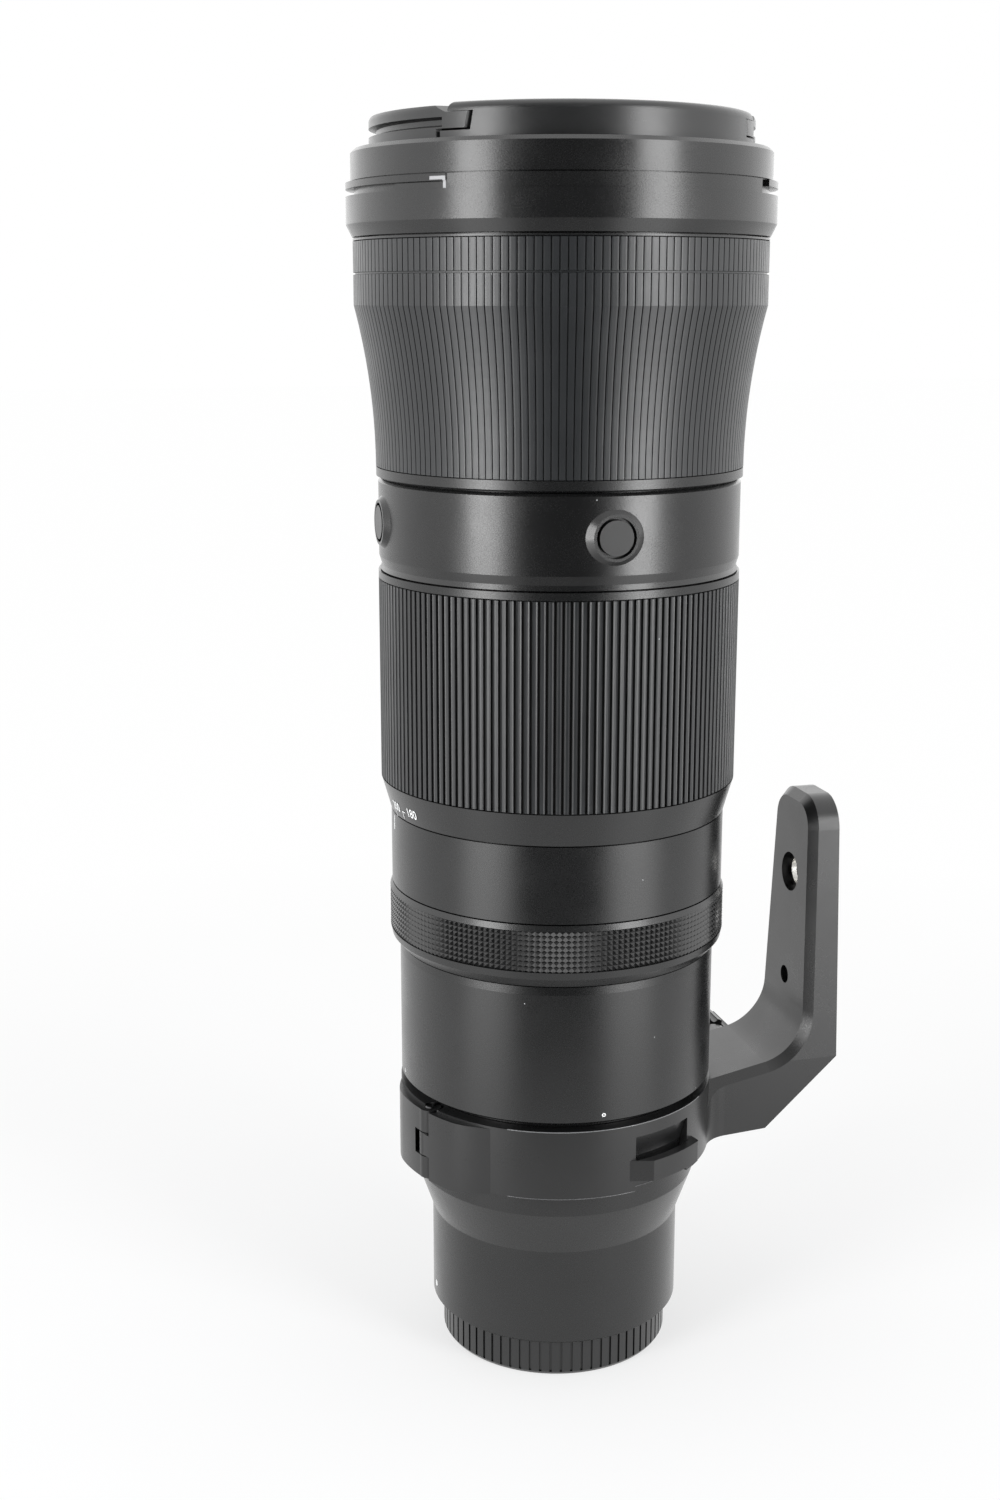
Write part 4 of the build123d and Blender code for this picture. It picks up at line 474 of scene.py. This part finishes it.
# The marks on the barrel: zoom index, four collar rings, mount dot
INDEX_ANGLE, INDEX_Z, INDEX_HALF_WIDE, INDEX_HALF_HIGH, MIDDLE_R = 178.9, 152.8, 0.35, 1.9, 45.3
COLLAR_MARKS = (0.0, 90.0, 180.0, 270.5)
COLLAR_MARK_Z, COLLAR_MARK_R, COLLAR_MARK_HOLE, BODY_R = 81.58, 0.55, 0.26, 43.3
MOUNT_DOT_ANGLE, MOUNT_DOT_Z, MOUNT_DOT_R, REAR_R = 179.6, 15.4, 0.95, 34.85
printed("zoom_index", stroke(INDEX_HALF_WIDE, INDEX_HALF_HIGH), INDEX_ANGLE, INDEX_Z,
        lambda z: MIDDLE_R, "lens_body")
for angle in COLLAR_MARKS:
    printed("collar_dot_%d" % angle, ring(COLLAR_MARK_R, COLLAR_MARK_HOLE), angle, COLLAR_MARK_Z,
            lambda z: BODY_R, "lens_body")
printed("mount_dot", dot(MOUNT_DOT_R), MOUNT_DOT_ANGLE, MOUNT_DOT_Z, lambda z: REAR_R, "lens_body")

# The hood's stop: a light grey L, a painted highlight for the light caught on the lug's chamfered end; a
# line on the front ring whose end hooks down onto the lug below it
STOP_Z, STOP_ANGLE, STOP_HALF, FRONT_R, LUG_R = 317.55, 221.75, 0.4, 55.0, 54.7
STOP_LEFT, STOP_RIGHT, HOOKED_ANGLE = 2.4, 2.1, 223.5
JOIN_Z, JOIN_HALF, LOW_Z, LOW_HALF = 317.05, 0.15, 316.05, 0.85
printed("hood_stop_highlight", bar(-STOP_LEFT, -STOP_HALF, STOP_RIGHT, STOP_HALF), STOP_ANGLE, STOP_Z,
        lambda z: FRONT_R, "lens_body", STOP_HIGHLIGHT_GREY)
printed("hood_stop_highlight_side", stroke(STOP_HALF, JOIN_HALF, 2), HOOKED_ANGLE, JOIN_Z,
        lambda z: FRONT_R, "lens_body", STOP_HIGHLIGHT_GREY)
printed("hood_stop_highlight_low", stroke(STOP_HALF, LOW_HALF, 2), HOOKED_ANGLE, LOW_Z,
        lambda z: LUG_R, "lens_body", STOP_HIGHLIGHT_GREY)

# Floor: white with the object's soft shadow; reflections see a dark table end and two bright pools
FLOOR_HALF, FLOOR_DROP = 6.0, 0.0002
SURROUND, FRONT, FILL, TABLE, POOL = 1.85, 0.04, 0.45, 1.15, 2.2
LEFT_SWING, RIGHT_SWING = -45.5, 51.0
POOL_WIDE, POOL_NARROW, POOL_NEAR, POOL_FAR = 24.0, 6.0, 0.1, 0.5
TABLE_WIDE, TABLE_NARROW, TABLE_NEAR, TABLE_FAR = 48.0, 18.0, 0.16, 0.4
SHADOW_NEAR, SHADOW_FAR, SHADOW_LOW, SHADOW_HIGH = 0.07, 0.5, 0.62, 0.985
floor_mesh = bpy.data.meshes.new("floor")
corners = [(x * FLOOR_HALF, y * FLOOR_HALF, 0.0) for x, y in ((-1, -1), (1, -1), (1, 1), (-1, 1))]
floor_mesh.from_pydata(corners, [], [(0, 1, 2, 3)])
floor = bpy.data.objects.new("floor", floor_mesh)
scene.collection.objects.link(floor)
floor.location.z = -FLOOR_DROP
white = Paint("floor_white")
tone = white.mix(white.span(white.noise(6.0), 0.4, 0.6, 0.0, 1.0), (0.86, 0.865, 0.87), (0.88, 0.885, 0.89))
white.set(Base_Color=tone, Roughness=0.9, Specular_IOR_Level=0.0)
ray = white.node("LightPath").outputs
seen = white.combine("MAXIMUM", ray["Is Camera Ray"], ray["Is Glossy Ray"])
seen = white.combine("MAXIMUM", seen, ray["Is Transmission Ray"])
away = white.node("VectorMath", {0: white.place}, operation="LENGTH").outputs["Value"]
heading = white.node("VectorMath", {0: white.place}, operation="NORMALIZE").outputs["Vector"]


def sector(swing, wide, narrow, near, far):
    """A soft-edged sector of the floor, from the object outwards, at an angle from the viewer."""
    aim = around(1.0, VIEW + math.radians(swing), 0.0)
    along = white.node("VectorMath", {0: heading, 1: aim}, operation="DOT_PRODUCT").outputs["Value"]
    inside = white.soft_step(along, math.cos(math.radians(wide)), math.cos(math.radians(narrow)))
    return white.combine("MULTIPLY", inside, white.soft_step(away, near, far))


table_end = white.span(sector(0.0, TABLE_WIDE, TABLE_NARROW, TABLE_NEAR, TABLE_FAR), 0.0, 1.0, TABLE, FRONT)
left = sector(LEFT_SWING, POOL_WIDE, POOL_NARROW, POOL_NEAR, POOL_FAR)
right = sector(RIGHT_SWING, POOL_WIDE, POOL_NARROW, POOL_NEAR, POOL_FAR)
pools = white.span(white.combine("MAXIMUM", left, right), 0.0, 1.0, 0.0, POOL)
mirrored = white.combine("ADD", table_end, pools)
strength = white.node("Mix", {"Factor": ray["Is Glossy Ray"], "A": 1.0, "B": mirrored}).outputs["Result"]
glow = white.node("Emission", {"Color": (1.0, 1.0, 1.0, 1.0), "Strength": strength}).outputs[0]
near_share = white.span(away, SHADOW_NEAR, SHADOW_FAR, SHADOW_LOW, SHADOW_HIGH)
share = white.combine("MAXIMUM", near_share, ray["Is Glossy Ray"])
part_seen = white.combine("MULTIPLY", seen, share)
both = white.node("MixShader", {0: part_seen, 1: white.shader.outputs[0], 2: glow}).outputs[0]
white.tree.links.new(both, white.tree.nodes["Material Output"].inputs["Surface"])
floor_mesh.materials.append(white.material)

# Studio light: a white surround that is dim towards the viewer, and two tall soft boxes
DIM_FROM, DIM_TO = 0.25, 0.9
BOX_AWAY, BOX_WIDE, BOX_LOW, BOX_TOP = 1.1, 0.4, 0.02, 0.85
LEFT_RADIANCE, RIGHT_RADIANCE = 10.0, 9.0
world = bpy.data.worlds.new("studio")
scene.world = world
world.use_nodes = True
tree = world.node_tree
where = add_node(tree, "TexCoord", {}).outputs["Generated"]
path = add_node(tree, "LightPath", {}).outputs
front = add_node(tree, "VectorMath", {0: where, 1: around(1.0, VIEW, 0.0)}, operation="DOT_PRODUCT")
limits = {"Value": front.outputs["Value"], "From Min": DIM_FROM, "From Max": DIM_TO,
          "To Min": SURROUND, "To Max": FRONT}
ramp = add_node(tree, "MapRange", limits, interpolation_type="SMOOTHSTEP").outputs["Result"]
diffuse = add_node(tree, "Math", {0: ramp, 1: FILL}, operation="MULTIPLY").outputs[0]
kind = add_node(tree, "Mix", {"Factor": path["Is Diffuse Ray"], "A": ramp, "B": diffuse}).outputs["Result"]
pick = add_node(tree, "Mix", {"Factor": path["Is Camera Ray"], "A": kind, "B": 1.0}).outputs["Result"]
sky = tree.nodes["Background"]
sky.inputs["Color"].default_value = (1.0, 1.0, 1.0, 1.0)
tree.links.new(pick, sky.inputs["Strength"])


def soft_box(name, swing, radiance):
    """A tall area lamp standing at an angle round the object from the viewer."""
    tall = BOX_TOP - BOX_LOW
    data = bpy.data.lights.new(name, "AREA")
    data.shape = "RECTANGLE"
    data.size = BOX_WIDE
    data.size_y = tall
    data.energy = radiance * math.pi * BOX_WIDE * tall
    lamp = bpy.data.objects.new(name, data)
    scene.collection.objects.link(lamp)
    lamp.location = around(BOX_AWAY, VIEW + math.radians(swing), (BOX_LOW + BOX_TOP) / 2)
    aim = Vector((-lamp.location.x, -lamp.location.y, 0.0))
    lamp.rotation_euler = aim.to_track_quat("-Z", "Y").to_euler()
    lamp.visible_camera = False


soft_box("box_left", LEFT_SWING, LEFT_RADIANCE)
soft_box("box_right", RIGHT_SWING, RIGHT_RADIANCE)

scene.view_settings.view_transform = "Standard"
